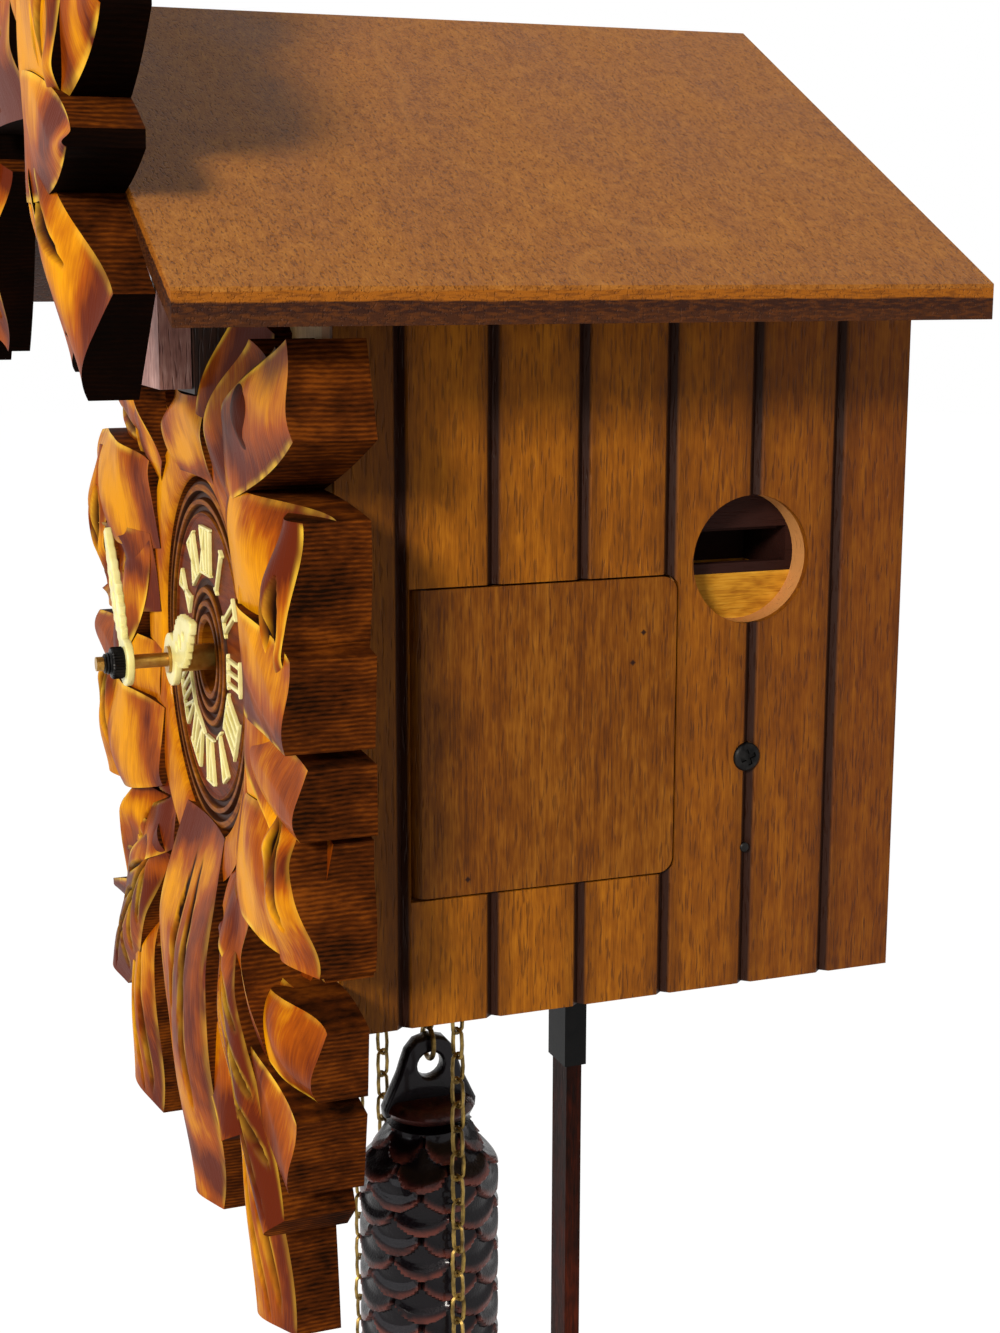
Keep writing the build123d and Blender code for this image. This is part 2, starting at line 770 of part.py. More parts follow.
nut_back = minute_hand_back - hand_thickness
with BuildPart() as hand_nut:
    with BuildSketch(upright(nut_back)):
        with Locations((0, dial_z)):
            RegularPolygon(nut_radius, 6)
            Circle(minute_arbor_radius + fit, mode=Mode.SUBTRACT)
    extrude(amount=nut_length)
write(hand_nut, "hand_nut")

# ------------------------------------------------------------------ movement plates
plate_low = high(plate_low_height)
plate_top = high(plate_top_height)
plate_middle_z = (plate_low + plate_top) / 2
pillar_places = [
    (side * (plate_half_width - pillar_inset), z)
    for side, hand in sides
    for z in (plate_low + pillar_inset, plate_top - pillar_inset)
]
crutch_slot_z = swing_z - 27.0

with BuildPart() as movement_front_plate:
    with BuildSketch(upright(plate_inside)):
        with Locations((0, plate_middle_z)):
            Rectangle(2 * plate_half_width, plate_top - plate_low)
        for place in arbor_places:
            with Locations(place):
                hole = minute_arbor_radius if place == centre_place else pivot_radius
                Circle(hole + pivot_clearance, mode=Mode.SUBTRACT)
    extrude(amount=plate_thickness)
write(movement_front_plate, "movement_front_plate")

with BuildPart() as movement_back_plate:
    with BuildSketch(upright(plate_rear)):
        with Locations((0, plate_middle_z)):
            Rectangle(2 * plate_half_width, plate_top - plate_low)
        for place in arbor_places:
            with Locations(place):
                Circle(pivot_radius + pivot_clearance, mode=Mode.SUBTRACT)
        with Locations((0, crutch_slot_z)):
            Rectangle(14, 6, mode=Mode.SUBTRACT)
    extrude(amount=plate_thickness)
write(movement_back_plate, "movement_back_plate")

with BuildPart() as movement_pillars:
    for place in pillar_places:
        rod(*place, pillar_radius, front_back, plate_front)
        rod(*place, pillar_radius, plate_inside, rear_inside)
    rod(*minute_wheel_place, 0.9, plate_front - 8.6, plate_front)
write(movement_pillars, "movement_pillars")

# ------------------------------------------------------------------ going train
with BuildPart() as centre_wheel:
    gear(*centre_place, centre_teeth, centre_module, centre_plane, wheel_thickness, third_turn, spokes=5)
    gear(*centre_place, centre_leaves, great_module, time_plane - 0.6, wheel_thickness + 1.4,
         direction(centre_place, time_place), gap=True)
    gear(*centre_place, cannon_teeth, motion_module, plate_front - 4.2, 2.2,
         direction(centre_place, minute_wheel_place))
    rod(*centre_place, minute_arbor_radius, case_front - arbor_end_forward, rear_inside - touch_gap)
    rod(*centre_place, pivot_radius, rear_inside - touch_gap, plate_rear)
write(centre_wheel, "centre_wheel")

with BuildPart() as minute_wheel:
    gear(*minute_wheel_place, minute_wheel_teeth, motion_module, plate_front - 3.7, wheel_thickness,
         direction(minute_wheel_place, centre_place), gap=True, spokes=4)
    gear(*minute_wheel_place, minute_pinion_teeth, hour_module, plate_front - 6.8, 3.1,
         direction(minute_wheel_place, centre_place))
    rod(*minute_wheel_place, 0.9 + fit, plate_front - 9, plate_front, mode=Mode.SUBTRACT)
write(minute_wheel, "minute_wheel")

hour_wheel_front = plate_front - 6.4
with BuildPart() as hour_wheel:
    gear(*centre_place, hour_wheel_teeth, hour_module, hour_wheel_front, wheel_thickness,
         direction(centre_place, minute_wheel_place), gap=True)
    rod(*centre_place, hour_pipe_radius, hour_hand_back - hand_thickness - 0.6, hour_wheel_front)
    bore_radius = minute_arbor_radius + pivot_clearance
    rod(*centre_place, bore_radius, hour_hand_back - 9, plate_front, mode=Mode.SUBTRACT)
write(hour_wheel, "hour_wheel")

with BuildPart() as time_great_wheel:
    gear(*time_place, great_teeth, great_module, time_plane, wheel_thickness,
         direction(time_place, centre_place), spokes=5)
    pivoted_arbor(time_place)
write(time_great_wheel, "time_great_wheel")

with BuildPart() as third_wheel:
    gear(*third_place, third_teeth, third_module, third_plane, wheel_thickness,
         direction(third_place, escape_place), spokes=5)
    gear(*third_place, third_leaves, centre_module, centre_plane - 0.6, wheel_thickness + 1.2,
         direction(third_place, centre_place), gap=True)
    pivoted_arbor(third_place)
write(third_wheel, "third_wheel")

with BuildPart() as escape_wheel:
    gear(*escape_place, escape_leaves, third_module, third_plane - 0.6, wheel_thickness + 1.2,
         direction(escape_place, third_place), gap=True)
    tooth_step = 2 * pi / escape_teeth
    tooth_points = []
    for tooth in range(escape_teeth):
        for radius, share in ((escape_radius, 0.0), (escape_radius, 0.14), (escape_radius - 2, 0.5)):
            angle = (tooth + share) * tooth_step
            tooth_points.append((radius * cos(angle), escape_z + radius * sin(angle)))
    with BuildSketch(upright(escape_plane + wheel_thickness)):
        with BuildLine():
            Polyline(*tooth_points, close=True)
        make_face()
    extrude(amount=wheel_thickness)
    pivoted_arbor(escape_place)
write(escape_wheel, "escape_wheel")

pallet_gap = 1.0
crutch_bow = 4.0                # the crutch bends sideways past the escape arbor
with BuildPart() as anchor:
    with BuildSketch(upright(escape_plane + wheel_thickness)):
        reach = radians(42)
        pallet_radius = escape_radius + pallet_gap
        with BuildLine():
            Polyline(
                (pallet_radius * sin(reach), escape_z + pallet_radius * cos(reach)),
                ((pallet_radius + 4.5) * sin(reach), escape_z + (pallet_radius + 4.5) * cos(reach)),
                (2, swing_z + 2),
                (-2, swing_z + 2),
                (-(pallet_radius + 4.5) * sin(reach), escape_z + (pallet_radius + 4.5) * cos(reach)),
                (-pallet_radius * sin(reach), escape_z + pallet_radius * cos(reach)),
                (-pallet_radius * sin(reach) - 0.4, escape_z + (pallet_radius + 2.4) * cos(reach)),
                (0, swing_z - 1.6),
                (pallet_radius * sin(reach) + 0.4, escape_z + (pallet_radius + 2.4) * cos(reach)),
                close=True,
            )
        make_face()
    extrude(amount=wheel_thickness)
    pivoted_arbor(swing_place)
    with BuildSketch(upright(crutch_plane + 1)):
        with Locations((crutch_bow, (swing_z + crutch_slot_z) / 2)):
            Rectangle(1.6, swing_z - crutch_slot_z + 1.6)
        for z in (swing_z, crutch_slot_z):
            with Locations((crutch_bow / 2, z)):
                Rectangle(crutch_bow + 1.6, 1.6)
    extrude(amount=1)
    with BuildSketch(upright(slot_y + 1.5)):
        with Locations((0, crutch_slot_z)):
            Rectangle(1.6, 1.6)
    extrude(amount=slot_y + 1.5 - crutch_plane - 2.8)
    rod(0, crutch_slot_z, 0.8, crutch_plane, slot_y - 2.5)
write(anchor, "anchor")

# ------------------------------------------------------------------ strike train
with BuildPart() as strike_great_wheel:
    gear(*strike_place, great_teeth, great_module, strike_plane, wheel_thickness,
         direction(strike_place, pin_place), spokes=5)
    pivoted_arbor(strike_place)
write(strike_great_wheel, "strike_great_wheel")

pin_circle = 9.0
with BuildPart() as pin_wheel:
    gear(*pin_place, pin_wheel_teeth, centre_module, centre_plane + 0.4, wheel_thickness,
         direction(pin_place, fly_place))
    gear(*pin_place, strike_pin_leaves, great_module, strike_plane - 0.6, wheel_thickness + 1.2,
         direction(pin_place, strike_place), gap=True)
    pivoted_arbor(pin_place)
    for pin in range(4):
        angle = pi * pin / 2
        place = (pin_place[0] + pin_circle * cos(angle), pin_place[1] + pin_circle * sin(angle))
        rod(*place, 0.7, centre_plane + 0.4 + wheel_thickness, centre_plane + 3.4)
write(pin_wheel, "pin_wheel")

fly_blade = 7.0
with BuildPart() as fly:
    gear(*fly_place, fly_leaves, centre_module, centre_plane - 0.2, wheel_thickness + 1.2,
         direction(fly_place, pin_place), gap=True)
    pivoted_arbor(fly_place)
    with BuildSketch(upright(rear_inside - 4)) as blades:
        with Locations(fly_place):
            Rectangle(2 * fly_blade, 0.8)
    extrude(amount=10)
write(fly, "fly")

# ------------------------------------------------------------------ chain wheels, chains and weights
chain_groove = chain_radius - chain_half - touch_gap
flange_radius = chain_radius + 1.0
flange_gap = chain_half + touch_gap
for place, name in ((time_place, "time_sprocket"), (strike_place, "strike_sprocket")):
    with BuildPart() as sprocket:
        rod(*place, chain_groove, chain_y - flange_gap, chain_y + flange_gap)
        for y in (chain_y - flange_gap - 1, chain_y + flange_gap):
            rod(*place, flange_radius, y, y + 1)
        hub_half = flange_gap + 1
        rod(*place, arbor_radius + fit, chain_y - hub_half, chain_y + hub_half, mode=Mode.SUBTRACT)
    write(sprocket, name)

ear_bridge = 4.0                # metal above the hole in each ear
ring_inner = hypot(weight_ear_thickness, ear_bridge) / 2 + touch_gap
ring_outer = ring_inner + 1.2
weights = (
    ("time", 1, near_weight_height, near_pull_height),
    ("strike", -1, far_weight_height, far_pull_height),
)
for train, side, ear_height, pull_height in weights:
    weight_x = side * (sprocket_offset - chain_radius)
    pull_x = side * (sprocket_offset + chain_radius)
    ear_top = high(ear_height)
    hole_z = ear_top - ear_bridge - ear_hole_radius
    ring_z = ear_top - ear_bridge / 2

    with BuildPart() as weight_chain:
        with BuildSketch(Plane.XY.offset(ring_z + (ring_inner + ring_outer) / 2)):
            with Locations((weight_x, chain_y)):
                Circle(chain_half)
        extrude(amount=sprocket_z - ring_z - (ring_inner + ring_outer) / 2)
        with BuildSketch(Plane.XZ.offset(-chain_y)):
            with Locations((weight_x, ring_z)):
                Circle(ring_outer)
                Circle(ring_inner, mode=Mode.SUBTRACT)
        extrude(amount=0.7, both=True)
    write(weight_chain, f"{train}_weight_chain")

    with BuildPart() as pull_chain:
        pull_low = high(pull_height)
        with BuildSketch(Plane.XY.offset(pull_low + 2 * pull_ring_radius - 0.8)):
            with Locations((pull_x, chain_y)):
                Circle(chain_half)
        extrude(amount=sprocket_z - pull_low - 2 * pull_ring_radius + 0.8)
        with BuildSketch(Plane.XZ.offset(-chain_y)):
            with Locations((pull_x, pull_low + pull_ring_radius)):
                Circle(pull_ring_radius)
                Circle(pull_ring_radius - 1.6, mode=Mode.SUBTRACT)
        extrude(amount=0.8, both=True)
    write(pull_chain, f"{train}_pull_chain")

    with BuildPart() as weight:
        cone_top = ear_top - weight_ear_tall
        cone_low = ear_top - weight_length
        scale_rows = 9
        cone_long = cone_top - cone_low
        with BuildSketch(Plane.XZ.offset(-chain_y)):
            with BuildLine():
                points = [(weight_x, cone_top), (weight_x + 8.5, cone_top), (weight_x + 8.0, cone_top - 3)]
                for row in range(scale_rows):
                    share = (row + 0.3) / scale_rows
                    swell = sin(pi * (0.12 + 0.80 * share)) ** 0.45
                    radius = weight_radius * swell
                    z = cone_top - 3 - (cone_long - 3) * share
                    points.append((weight_x + radius, z))
                    points.append((weight_x + radius - 1.6, z - 0.6 * cone_long / scale_rows))
                points.append((weight_x, cone_low))
                Polyline(*points, close=True)
            make_face()
        revolve(axis=Axis((weight_x, chain_y, 0), (0, 0, 1)))
        with BuildSketch(Plane.YZ.offset(weight_x + weight_ear_thickness / 2)):
            with BuildLine():
                half = weight_ear_width / 2
                Polyline(
                    (chain_y + 4, ear_top - 2),
                    (chain_y + 6.5, hole_z - 2),
                    (chain_y + half, cone_top - 1),
                    (chain_y - half, cone_top - 1),
                    (chain_y - 6.5, hole_z - 2),
                    (chain_y - 4, ear_top - 2),
                )
                ThreePointArc((chain_y - 4, ear_top - 2), (chain_y, ear_top), (chain_y + 4, ear_top - 2))
            make_face()
            with Locations((chain_y, hole_z)):
                Circle(ear_hole_radius, mode=Mode.SUBTRACT)
        extrude(amount=-weight_ear_thickness)
    write(weight, f"{train}_weight")

# ------------------------------------------------------------------ pendulum
leader_width = 3.0
with BuildPart() as pendulum_leader:
    with BuildSketch(upright(slot_y + 1)):
        with Locations(swing_place):
            Circle(3.2)
        with Locations((0, (swing_z + high(rod_top_height)) / 2)):
            Rectangle(leader_width, swing_z - high(rod_top_height))
        with Locations(swing_place):
            Circle(suspension_radius + fit, mode=Mode.SUBTRACT)
        with Locations((0, crutch_slot_z)):
            Rectangle(2.2, 3.2, mode=Mode.SUBTRACT)
    extrude(amount=2)
write(pendulum_leader, "pendulum_leader")

cap_wall = 0.8
with BuildPart() as pendulum_rod:
    with BuildSketch(Plane.XY.offset(high(rod_low_height))):
        with Locations((0, slot_y)):
            Rectangle(rod_width - 2 * cap_wall, rod_thickness - 2 * cap_wall + 0.8)
    extrude(amount=rod_top_height - rod_low_height)
write(pendulum_rod, "pendulum_rod")

with BuildPart() as pendulum_cap:
    with BuildSketch(Plane.XY.offset(high(rod_cap_height))):
        with Locations((0, slot_y)):
            Rectangle(rod_width, rod_thickness + 0.8)
            Rectangle(rod_width - 2 * cap_wall, rod_thickness - 2 * cap_wall + 0.8, mode=Mode.SUBTRACT)
    extrude(amount=rod_top_height - rod_cap_height - 2)
write(pendulum_cap, "pendulum_cap")

bob_z = high(bob_height)
bob_back = slot_y - rod_thickness / 2 - 0.8
with BuildPart() as pendulum_bob:
    with BuildSketch(upright(bob_back)):
        for turn, reach in ((-90, 1.0), (-38, 0.95), (218, 0.95), (20, 0.9), (160, 0.9)):
            angle = radians(turn)
            length = bob_radius * reach
            lobe((0, bob_z + 4), (length * cos(angle), bob_z + length * sin(angle)), 10, 15, 4)
        with Locations((0, bob_z + 5)):
            Circle(9)
    extrude(amount=bob_thickness)
    with BuildSketch(Plane.XY.offset(bob_z - 2)):
        with Locations((0, slot_y)):
            Rectangle(rod_width + 3, rod_thickness + 1.6)
            Rectangle(
                rod_width - 2 * cap_wall + 2 * touch_gap,
                rod_thickness - 2 * cap_wall + 0.8 + 2 * touch_gap,
                mode=Mode.SUBTRACT,
            )
    extrude(amount=10)
write(pendulum_bob, "pendulum_bob")

# ------------------------------------------------------------------ cuckoo on its slide
bird_y = door_seat - touch_gap + bird_setback
bird_z = high(bird_height)
guide_z = high(guide_height)
guide_end = front_back + guide_length
slide_block = 10.0
carriage_front = front_back + carriage_setback
peg_y = bird_y + peg_setback
with BuildPart() as bird_carriage:
    with BuildSketch(upright(carriage_front + slide_block)):
        with Locations((0, guide_z)):
            Rectangle(7, 6)
            Circle(guide_radius + fit, mode=Mode.SUBTRACT)
    extrude(amount=slide_block)
    with BuildSketch(Plane.XY.offset(guide_z + 3)):
        with Locations((0, (peg_y - 2 + carriage_front + slide_block) / 2)):
            Rectangle(2.4, carriage_front + slide_block - peg_y + 2)
    extrude(amount=1.6)
write(bird_carriage, "bird_carriage")

beak = 6.0
with BuildPart() as cuckoo_bird:
    with BuildSketch(Plane.YZ):
        with BuildLine():
            ThreePointArc((bird_y + beak, bird_z + 1.8), (bird_y + beak + 8, bird_z + bird_radius),
                          (bird_y + bird_length, bird_z + 2.5))
            Polyline(
                (bird_y + bird_length, bird_z + 2.5),
                (bird_y + bird_length + 6, bird_z + 1.5),
                (bird_y + bird_length + 6, bird_z),
                (bird_y + beak, bird_z),
                (bird_y + beak, bird_z + 1.8),
            )
        make_face()
    revolve(axis=Axis((0, bird_y, bird_z), (0, 1, 0)))
    with BuildSketch(upright(bird_y + beak)):
        with Locations((0, bird_z)):
            Circle(1.8)
    extrude(amount=beak, taper=14)
    with BuildSketch(Plane.XY.offset(guide_z + 4.6)):
        with Locations((0, peg_y)):
            Circle(1.2)
    extrude(amount=bird_z - guide_z - 4.6)
write(cuckoo_bird, "cuckoo_bird")

# ------------------------------------------------------------------ whistles and bellows
whistle_middle_y = sound_y
whistle_low = high(whistle_low_height)
whistle_top = whistle_low + whistle_tall
bellows_front = -bellows_front_back
bellows_back = bellows_front + bellows_length
bellows_width = 26.0
mouth_tall = 7.0
mouth_above = 2.0               # middle of the mouth above the middle of the sound hole
whistle_block = 14.0
bellows_middle = inner - touch_gap - bellows_width / 2
with BuildPart() as whistles:
    for side, hand in sides:
        whistle_x = side * (inner - whistle_width / 2)
        with BuildSketch(Plane.XY.offset(whistle_low)):
            with Locations((whistle_x, whistle_middle_y)):
                Rectangle(whistle_width, whistle_depth)
        extrude(amount=whistle_tall)
        with BuildSketch(Plane.XY.offset(whistle_low + whistle_wall)):
            with Locations((whistle_x, whistle_middle_y)):
                Rectangle(whistle_width - 2 * whistle_wall, whistle_depth - 2 * whistle_wall)
        extrude(amount=whistle_tall - whistle_block, mode=Mode.SUBTRACT)
        with BuildSketch(Plane.YZ.offset(side * inner)):
            with Locations((whistle_middle_y, sound_z + mouth_above)):
                Rectangle(whistle_depth - 2 * whistle_wall, mouth_tall)
        extrude(amount=-side * (whistle_wall + 1), mode=Mode.SUBTRACT)
        with BuildSketch(Plane.YZ.offset(side * inner)):
            for height, radius, head_radius in screw_places:
                with Locations((sound_y, high(height))):
                    Circle(radius + fit)
        extrude(amount=-side * whistle_wall, mode=Mode.SUBTRACT)
write(whistles, "whistles")

with BuildPart() as bellows_bases:
    with BuildSketch(Plane.XY.offset(whistle_top)):
        for side, hand in sides:
            with Locations((side * bellows_middle, (bellows_front + bellows_back) / 2)):
                Rectangle(bellows_width, bellows_length)
    extrude(amount=bellows_board)
write(bellows_bases, "bellows_bases")

for side, hand in sides:
    bellows_x = side * bellows_middle
    with BuildPart() as bellows_cloth:
        with BuildSketch(Plane.XY.offset(whistle_top + bellows_board)):
            with Locations((bellows_x, (bellows_front + bellows_back) / 2)):
                Rectangle(bellows_width - 2, bellows_length - 2)
        extrude(amount=bellows_fold)
    write(bellows_cloth, f"bellows_cloth_{hand}")

    with BuildPart() as bellows_top:
        with BuildSketch(Plane.XY.offset(whistle_top + bellows_board + bellows_fold)):
            with Locations((bellows_x, (bellows_front + bellows_back) / 2)):
                Rectangle(bellows_width, bellows_length)
        extrude(amount=bellows_board)
    write(bellows_top, f"bellows_top_{hand}")

# ------------------------------------------------------------------ gong and its hammer
gong_z = high(gong_height)
gong_y = -back_thickness - 5.0
gong_coils = 3
gong_pitch = 5.0
gong_post = 6.0
with BuildPart() as gong:
    rod(0, gong_z, gong_post, gong_y - 2.2, -back_thickness)
    for turn in range(gong_coils):
        radius = gong_radius - turn * gong_pitch
        with BuildSketch(upright(gong_y + gong_wire_radius)):
            with Locations((0, gong_z)):
                Circle(radius + gong_wire_radius)
                Circle(radius - gong_wire_radius, mode=Mode.SUBTRACT)
        extrude(amount=2 * gong_wire_radius)
    with BuildSketch(upright(gong_y + gong_wire_radius)):
        with Locations((0, gong_z - (gong_post + gong_radius) / 2)):
            Rectangle(2 * gong_wire_radius, gong_radius - gong_post + 2)
    extrude(amount=2 * gong_wire_radius)
write(gong, "gong")

hammer_x = gong_radius + 5.5
hammer_z = gong_z + hammer_rise
hammer_head_z = gong_z + hammer_head_rise
with BuildPart() as gong_hammer:
    rod(hammer_x, hammer_z, 1.0, plate_rear + touch_gap, gong_y)
    with BuildSketch(Plane.XY.offset(hammer_z)):
        with Locations((hammer_x, gong_y - 1)):
            Circle(1.0)
    extrude(amount=hammer_head_z - hammer_z)
    with BuildSketch(Plane.YZ.offset(hammer_x - 3)):
        with Locations((gong_y - 1, hammer_head_z)):
            Circle(3.0)
    extrude(amount=6)
write(gong_hammer, "gong_hammer")

suspension_end = slot_y + 4
bracket_back = plate_rear + 8
with BuildPart() as movement_brackets:
    rod(*swing_place, 4.0, plate_rear, plate_rear + 2)
    rod(*swing_place, suspension_radius, plate_rear, suspension_end)
    rod(*swing_place, 2.4, suspension_end - 1.2, suspension_end)
    with BuildSketch(upright(bracket_back)):
        with Locations((hammer_x, hammer_z)):
            Rectangle(6, 6)
            Circle(1.0 + fit, mode=Mode.SUBTRACT)
    extrude(amount=2)
    with BuildSketch(upright(bracket_back)):
        with Locations((hammer_x, hammer_z - 4)):
            Rectangle(6, 2)
    extrude(amount=8)
    rod(0, guide_z, guide_radius, front_back, guide_end)
    with BuildSketch(upright(guide_end + 3)):
        with Locations((0, (guide_z + 4 + plate_top + 2) / 2)):
            Rectangle(8, guide_z + 4 - plate_top - 2)
    extrude(amount=3)
    with BuildSketch(Plane.XY.offset(plate_top)):
        with Locations((0, (plate_front + guide_end + 3) / 2)):
            Rectangle(8, guide_end + 3 - plate_front)
    extrude(amount=2)
write(movement_brackets, "movement_brackets")
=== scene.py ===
import math
import random

import bpy
from mathutils import Euler, Matrix, Vector


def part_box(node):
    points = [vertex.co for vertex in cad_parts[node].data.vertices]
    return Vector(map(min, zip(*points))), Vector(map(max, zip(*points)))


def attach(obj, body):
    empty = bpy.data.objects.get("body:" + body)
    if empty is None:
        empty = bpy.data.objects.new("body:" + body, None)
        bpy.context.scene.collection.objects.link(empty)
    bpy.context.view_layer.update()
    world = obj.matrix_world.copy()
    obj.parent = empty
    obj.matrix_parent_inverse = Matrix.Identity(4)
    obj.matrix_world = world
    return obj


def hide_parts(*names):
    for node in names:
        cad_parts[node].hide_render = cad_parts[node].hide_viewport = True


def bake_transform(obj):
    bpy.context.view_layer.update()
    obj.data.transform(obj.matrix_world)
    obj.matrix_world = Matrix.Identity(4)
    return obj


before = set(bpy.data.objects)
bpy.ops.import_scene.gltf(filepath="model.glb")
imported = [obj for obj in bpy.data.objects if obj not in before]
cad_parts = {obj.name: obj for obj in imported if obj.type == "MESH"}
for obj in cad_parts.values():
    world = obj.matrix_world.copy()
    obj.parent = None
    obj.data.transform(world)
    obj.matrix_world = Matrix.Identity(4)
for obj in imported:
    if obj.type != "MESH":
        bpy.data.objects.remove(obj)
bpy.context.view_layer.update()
mm = 0.001
random.seed(7)
scene = bpy.context.scene
scene.view_settings.view_transform = "Standard"

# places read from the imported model, in metres

caseLow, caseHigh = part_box("side_panel_right")
caseOuter, caseFront, caseBottom = caseHigh.x, caseLow.y, caseLow.z
dialLow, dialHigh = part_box("dial_disc")
dialCentre = (dialLow + dialHigh) / 2
dialRadius = (dialHigh.x - dialLow.x) / 2
roofLow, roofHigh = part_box("roof_panel_right")
roofFront, ridgeZ = roofLow.y, roofHigh.z


# ways of working

def only(piece):
    bpy.ops.object.select_all(action="DESELECT")
    piece.select_set(True)
    bpy.context.view_layer.objects.active = piece


def added(shape, **settings):  # a new piece from one of Blender's shapes
    bpy.ops.object.select_all(action="DESELECT")
    shape(**settings)
    return bpy.context.object


def setAll(thing, settings):
    for key, value in settings.items():
        setattr(thing, key, value)


def spin(degrees, axis):
    return Matrix.Rotation(math.radians(degrees), 4, axis)


def pull(way):  # a step that extrudes
    return bpy.ops.mesh.extrude_region_move, {"TRANSFORM_OT_translate": {"value": way}}


def select(action):  # a step that selects
    return bpy.ops.mesh.select_all, {"action": action}


def edit(piece, *steps, fresh=True):  # each step is an operator and its settings
    only(piece)
    bpy.ops.object.mode_set(mode="EDIT")
    if fresh:
        bpy.ops.mesh.select_all(action="SELECT")
    for operator, settings in steps:
        operator(**settings)
    bpy.ops.object.mode_set(mode="OBJECT")
    return piece


def place(piece, **settings):
    setAll(piece, settings)
    only(piece)
    bpy.ops.object.transform_apply(location=True, rotation=True, scale=True)
    return piece


def closed(piece, gap=1e-6):
    return edit(piece, (bpy.ops.mesh.remove_doubles, {"threshold": gap}),
                (bpy.ops.mesh.normals_make_consistent, {"inside": False}))


def modify(piece, kind, **settings):
    only(piece)
    modifier = piece.modifiers.new(kind.lower(), kind)
    setAll(modifier, settings)
    bpy.ops.object.modifier_apply(modifier=modifier.name)
    return piece


def joined(pieces):
    only(pieces[0])
    for piece in pieces:
        piece.select_set(True)
    bpy.ops.object.join()
    return pieces[0]


def copyOf(piece, matrix):
    twin = piece.copy()
    twin.data = piece.data.copy()
    twin.data.transform(matrix)
    scene.collection.objects.link(twin)
    return twin


def turned(centre, axis, points, steps, loop=False):
    # points are radius and distance along the axis, both in mm, and a loop returns to the first
    along = Vector(axis)
    side = Vector((1, 0, 0)) if abs(along.x) < 0.5 else Vector((0, 1, 0))
    if loop:
        points = points + points[:1]
    spots = [Vector(centre) + side * radius * mm + along * reach * mm for radius, reach in points]
    piece = place(added(bpy.ops.mesh.primitive_plane_add, size=mm, location=spots[0]))
    moves = [pull(end - start) for start, end in zip(spots, spots[1:])]
    edit(piece, (bpy.ops.mesh.merge, {"type": "CENTER"}), *moves, select("SELECT"),
         (bpy.ops.mesh.spin, {"steps": steps, "angle": 2 * math.pi, "center": centre, "axis": axis}))
    return closed(piece)


def drawn(name, kind, lines, lineSettings, **settings):  # a mesh from a curve with one or more lines
    curve = bpy.data.curves.new(name, "CURVE")
    setAll(curve, settings)
    for points in lines:
        spline = curve.splines.new(kind)
        spline.points.add(len(points) - 1)
        for point, spot in zip(spline.points, points):
            point.co = (*spot, 1)
        setAll(spline, lineSettings)
    piece = bpy.data.objects.new(name, curve)
    scene.collection.objects.link(piece)
    only(piece)
    bpy.ops.object.convert(target="MESH")
    return bpy.context.object


def cutOut(name, outlines, thick, bevel):
    # flat shapes in X and Y, in mm, with holes where outlines nest
    lines = [[(x * mm, y * mm, 0) for x, y in points] for points in outlines]
    return drawn(name, "POLY", lines, {"use_cyclic_u": True}, dimensions="2D", fill_mode="BOTH",
                 extrude=(thick / 2 - bevel) * mm, bevel_depth=bevel * mm, bevel_resolution=1,
                 offset=-bevel * mm)


def ovalPoints(x, y, wide, tall, count):
    angles = [2 * math.pi * step / count for step in range(count)]
    return [(x + wide * math.cos(angle), y + tall * math.sin(angle)) for angle in angles]


def bar(wide, thick, tall, bevel, flare=0.0):  # sizes in mm, flare is the widening of its ends
    piece = place(added(bpy.ops.mesh.primitive_cube_add, size=mm), scale=(wide, thick, tall))
    edit(piece, (bpy.ops.mesh.subdivide, {"number_cuts": 3}))
    for vertex in piece.data.vertices:
        share = abs(vertex.co.z) / (tall * mm / 2)
        vertex.co.x *= 1 + flare * ease(share, 0.55, 1.0)
    return modify(piece, "BEVEL", width=bevel * mm, segments=2, limit_method="ANGLE")


def finished(piece, name, body, finish, instead, smooth=35):
    place(piece)
    bpy.ops.object.shade_smooth_by_angle(angle=math.radians(smooth))
    piece.name = name
    piece.data.name = name
    if finish:
        piece.data.materials.clear()
        piece.data.materials.append(finishes[finish])
    if body:
        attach(piece, body)
    if instead:
        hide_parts(*instead)
    return piece


def ease(value, start, end):  # smooth step from 0 to 1
    share = min(1.0, max(0.0, (value - start) / (end - start)))
    return share * share * (3 - 2 * share)


# camera, lamps and stage

view = {
    "place": (0.4234, -0.2245, -0.0054),
    "down": 11.197,  # degrees
    "turn": 68.755,
    "roll": 0.097,
    "lens": 55.65,
}
lamps = {
    # place, size across, watts, colour
    "key": ((1.45, -1.5, 0.78), 0.45, 46, (1.0, 0.95, 0.86)),
    "fill": ((0.6, -2.2, 0.7), 1.4, 9, (0.95, 0.95, 1.0)),
}
lampAim = (0.0, -0.08, -0.06)
stage = {
    "floorZ": -0.47,
    "floorRadius": 6,
    "floorLit": 0.86,  # share of the floor that is plain white
    "glow": 1.13,  # above 1, so that the horizon is white too
    "ambient": 0.26,  # strength of the light from all round
    "seen": 1.0,  # and how bright the same room looks
}

cameraData = bpy.data.cameras.new("camera")
cameraData.lens = view["lens"]
cameraData.clip_start = 0.01
camera = bpy.data.objects.new("camera", cameraData)
facing = Euler((math.radians(90 - view["down"]), 0, math.radians(view["turn"]))).to_matrix()
facing = facing @ Matrix.Rotation(math.radians(view["roll"]), 3, "Z")
camera.matrix_world = Matrix.Translation(view["place"]) @ facing.to_4x4()
scene.collection.objects.link(camera)
scene.camera = camera

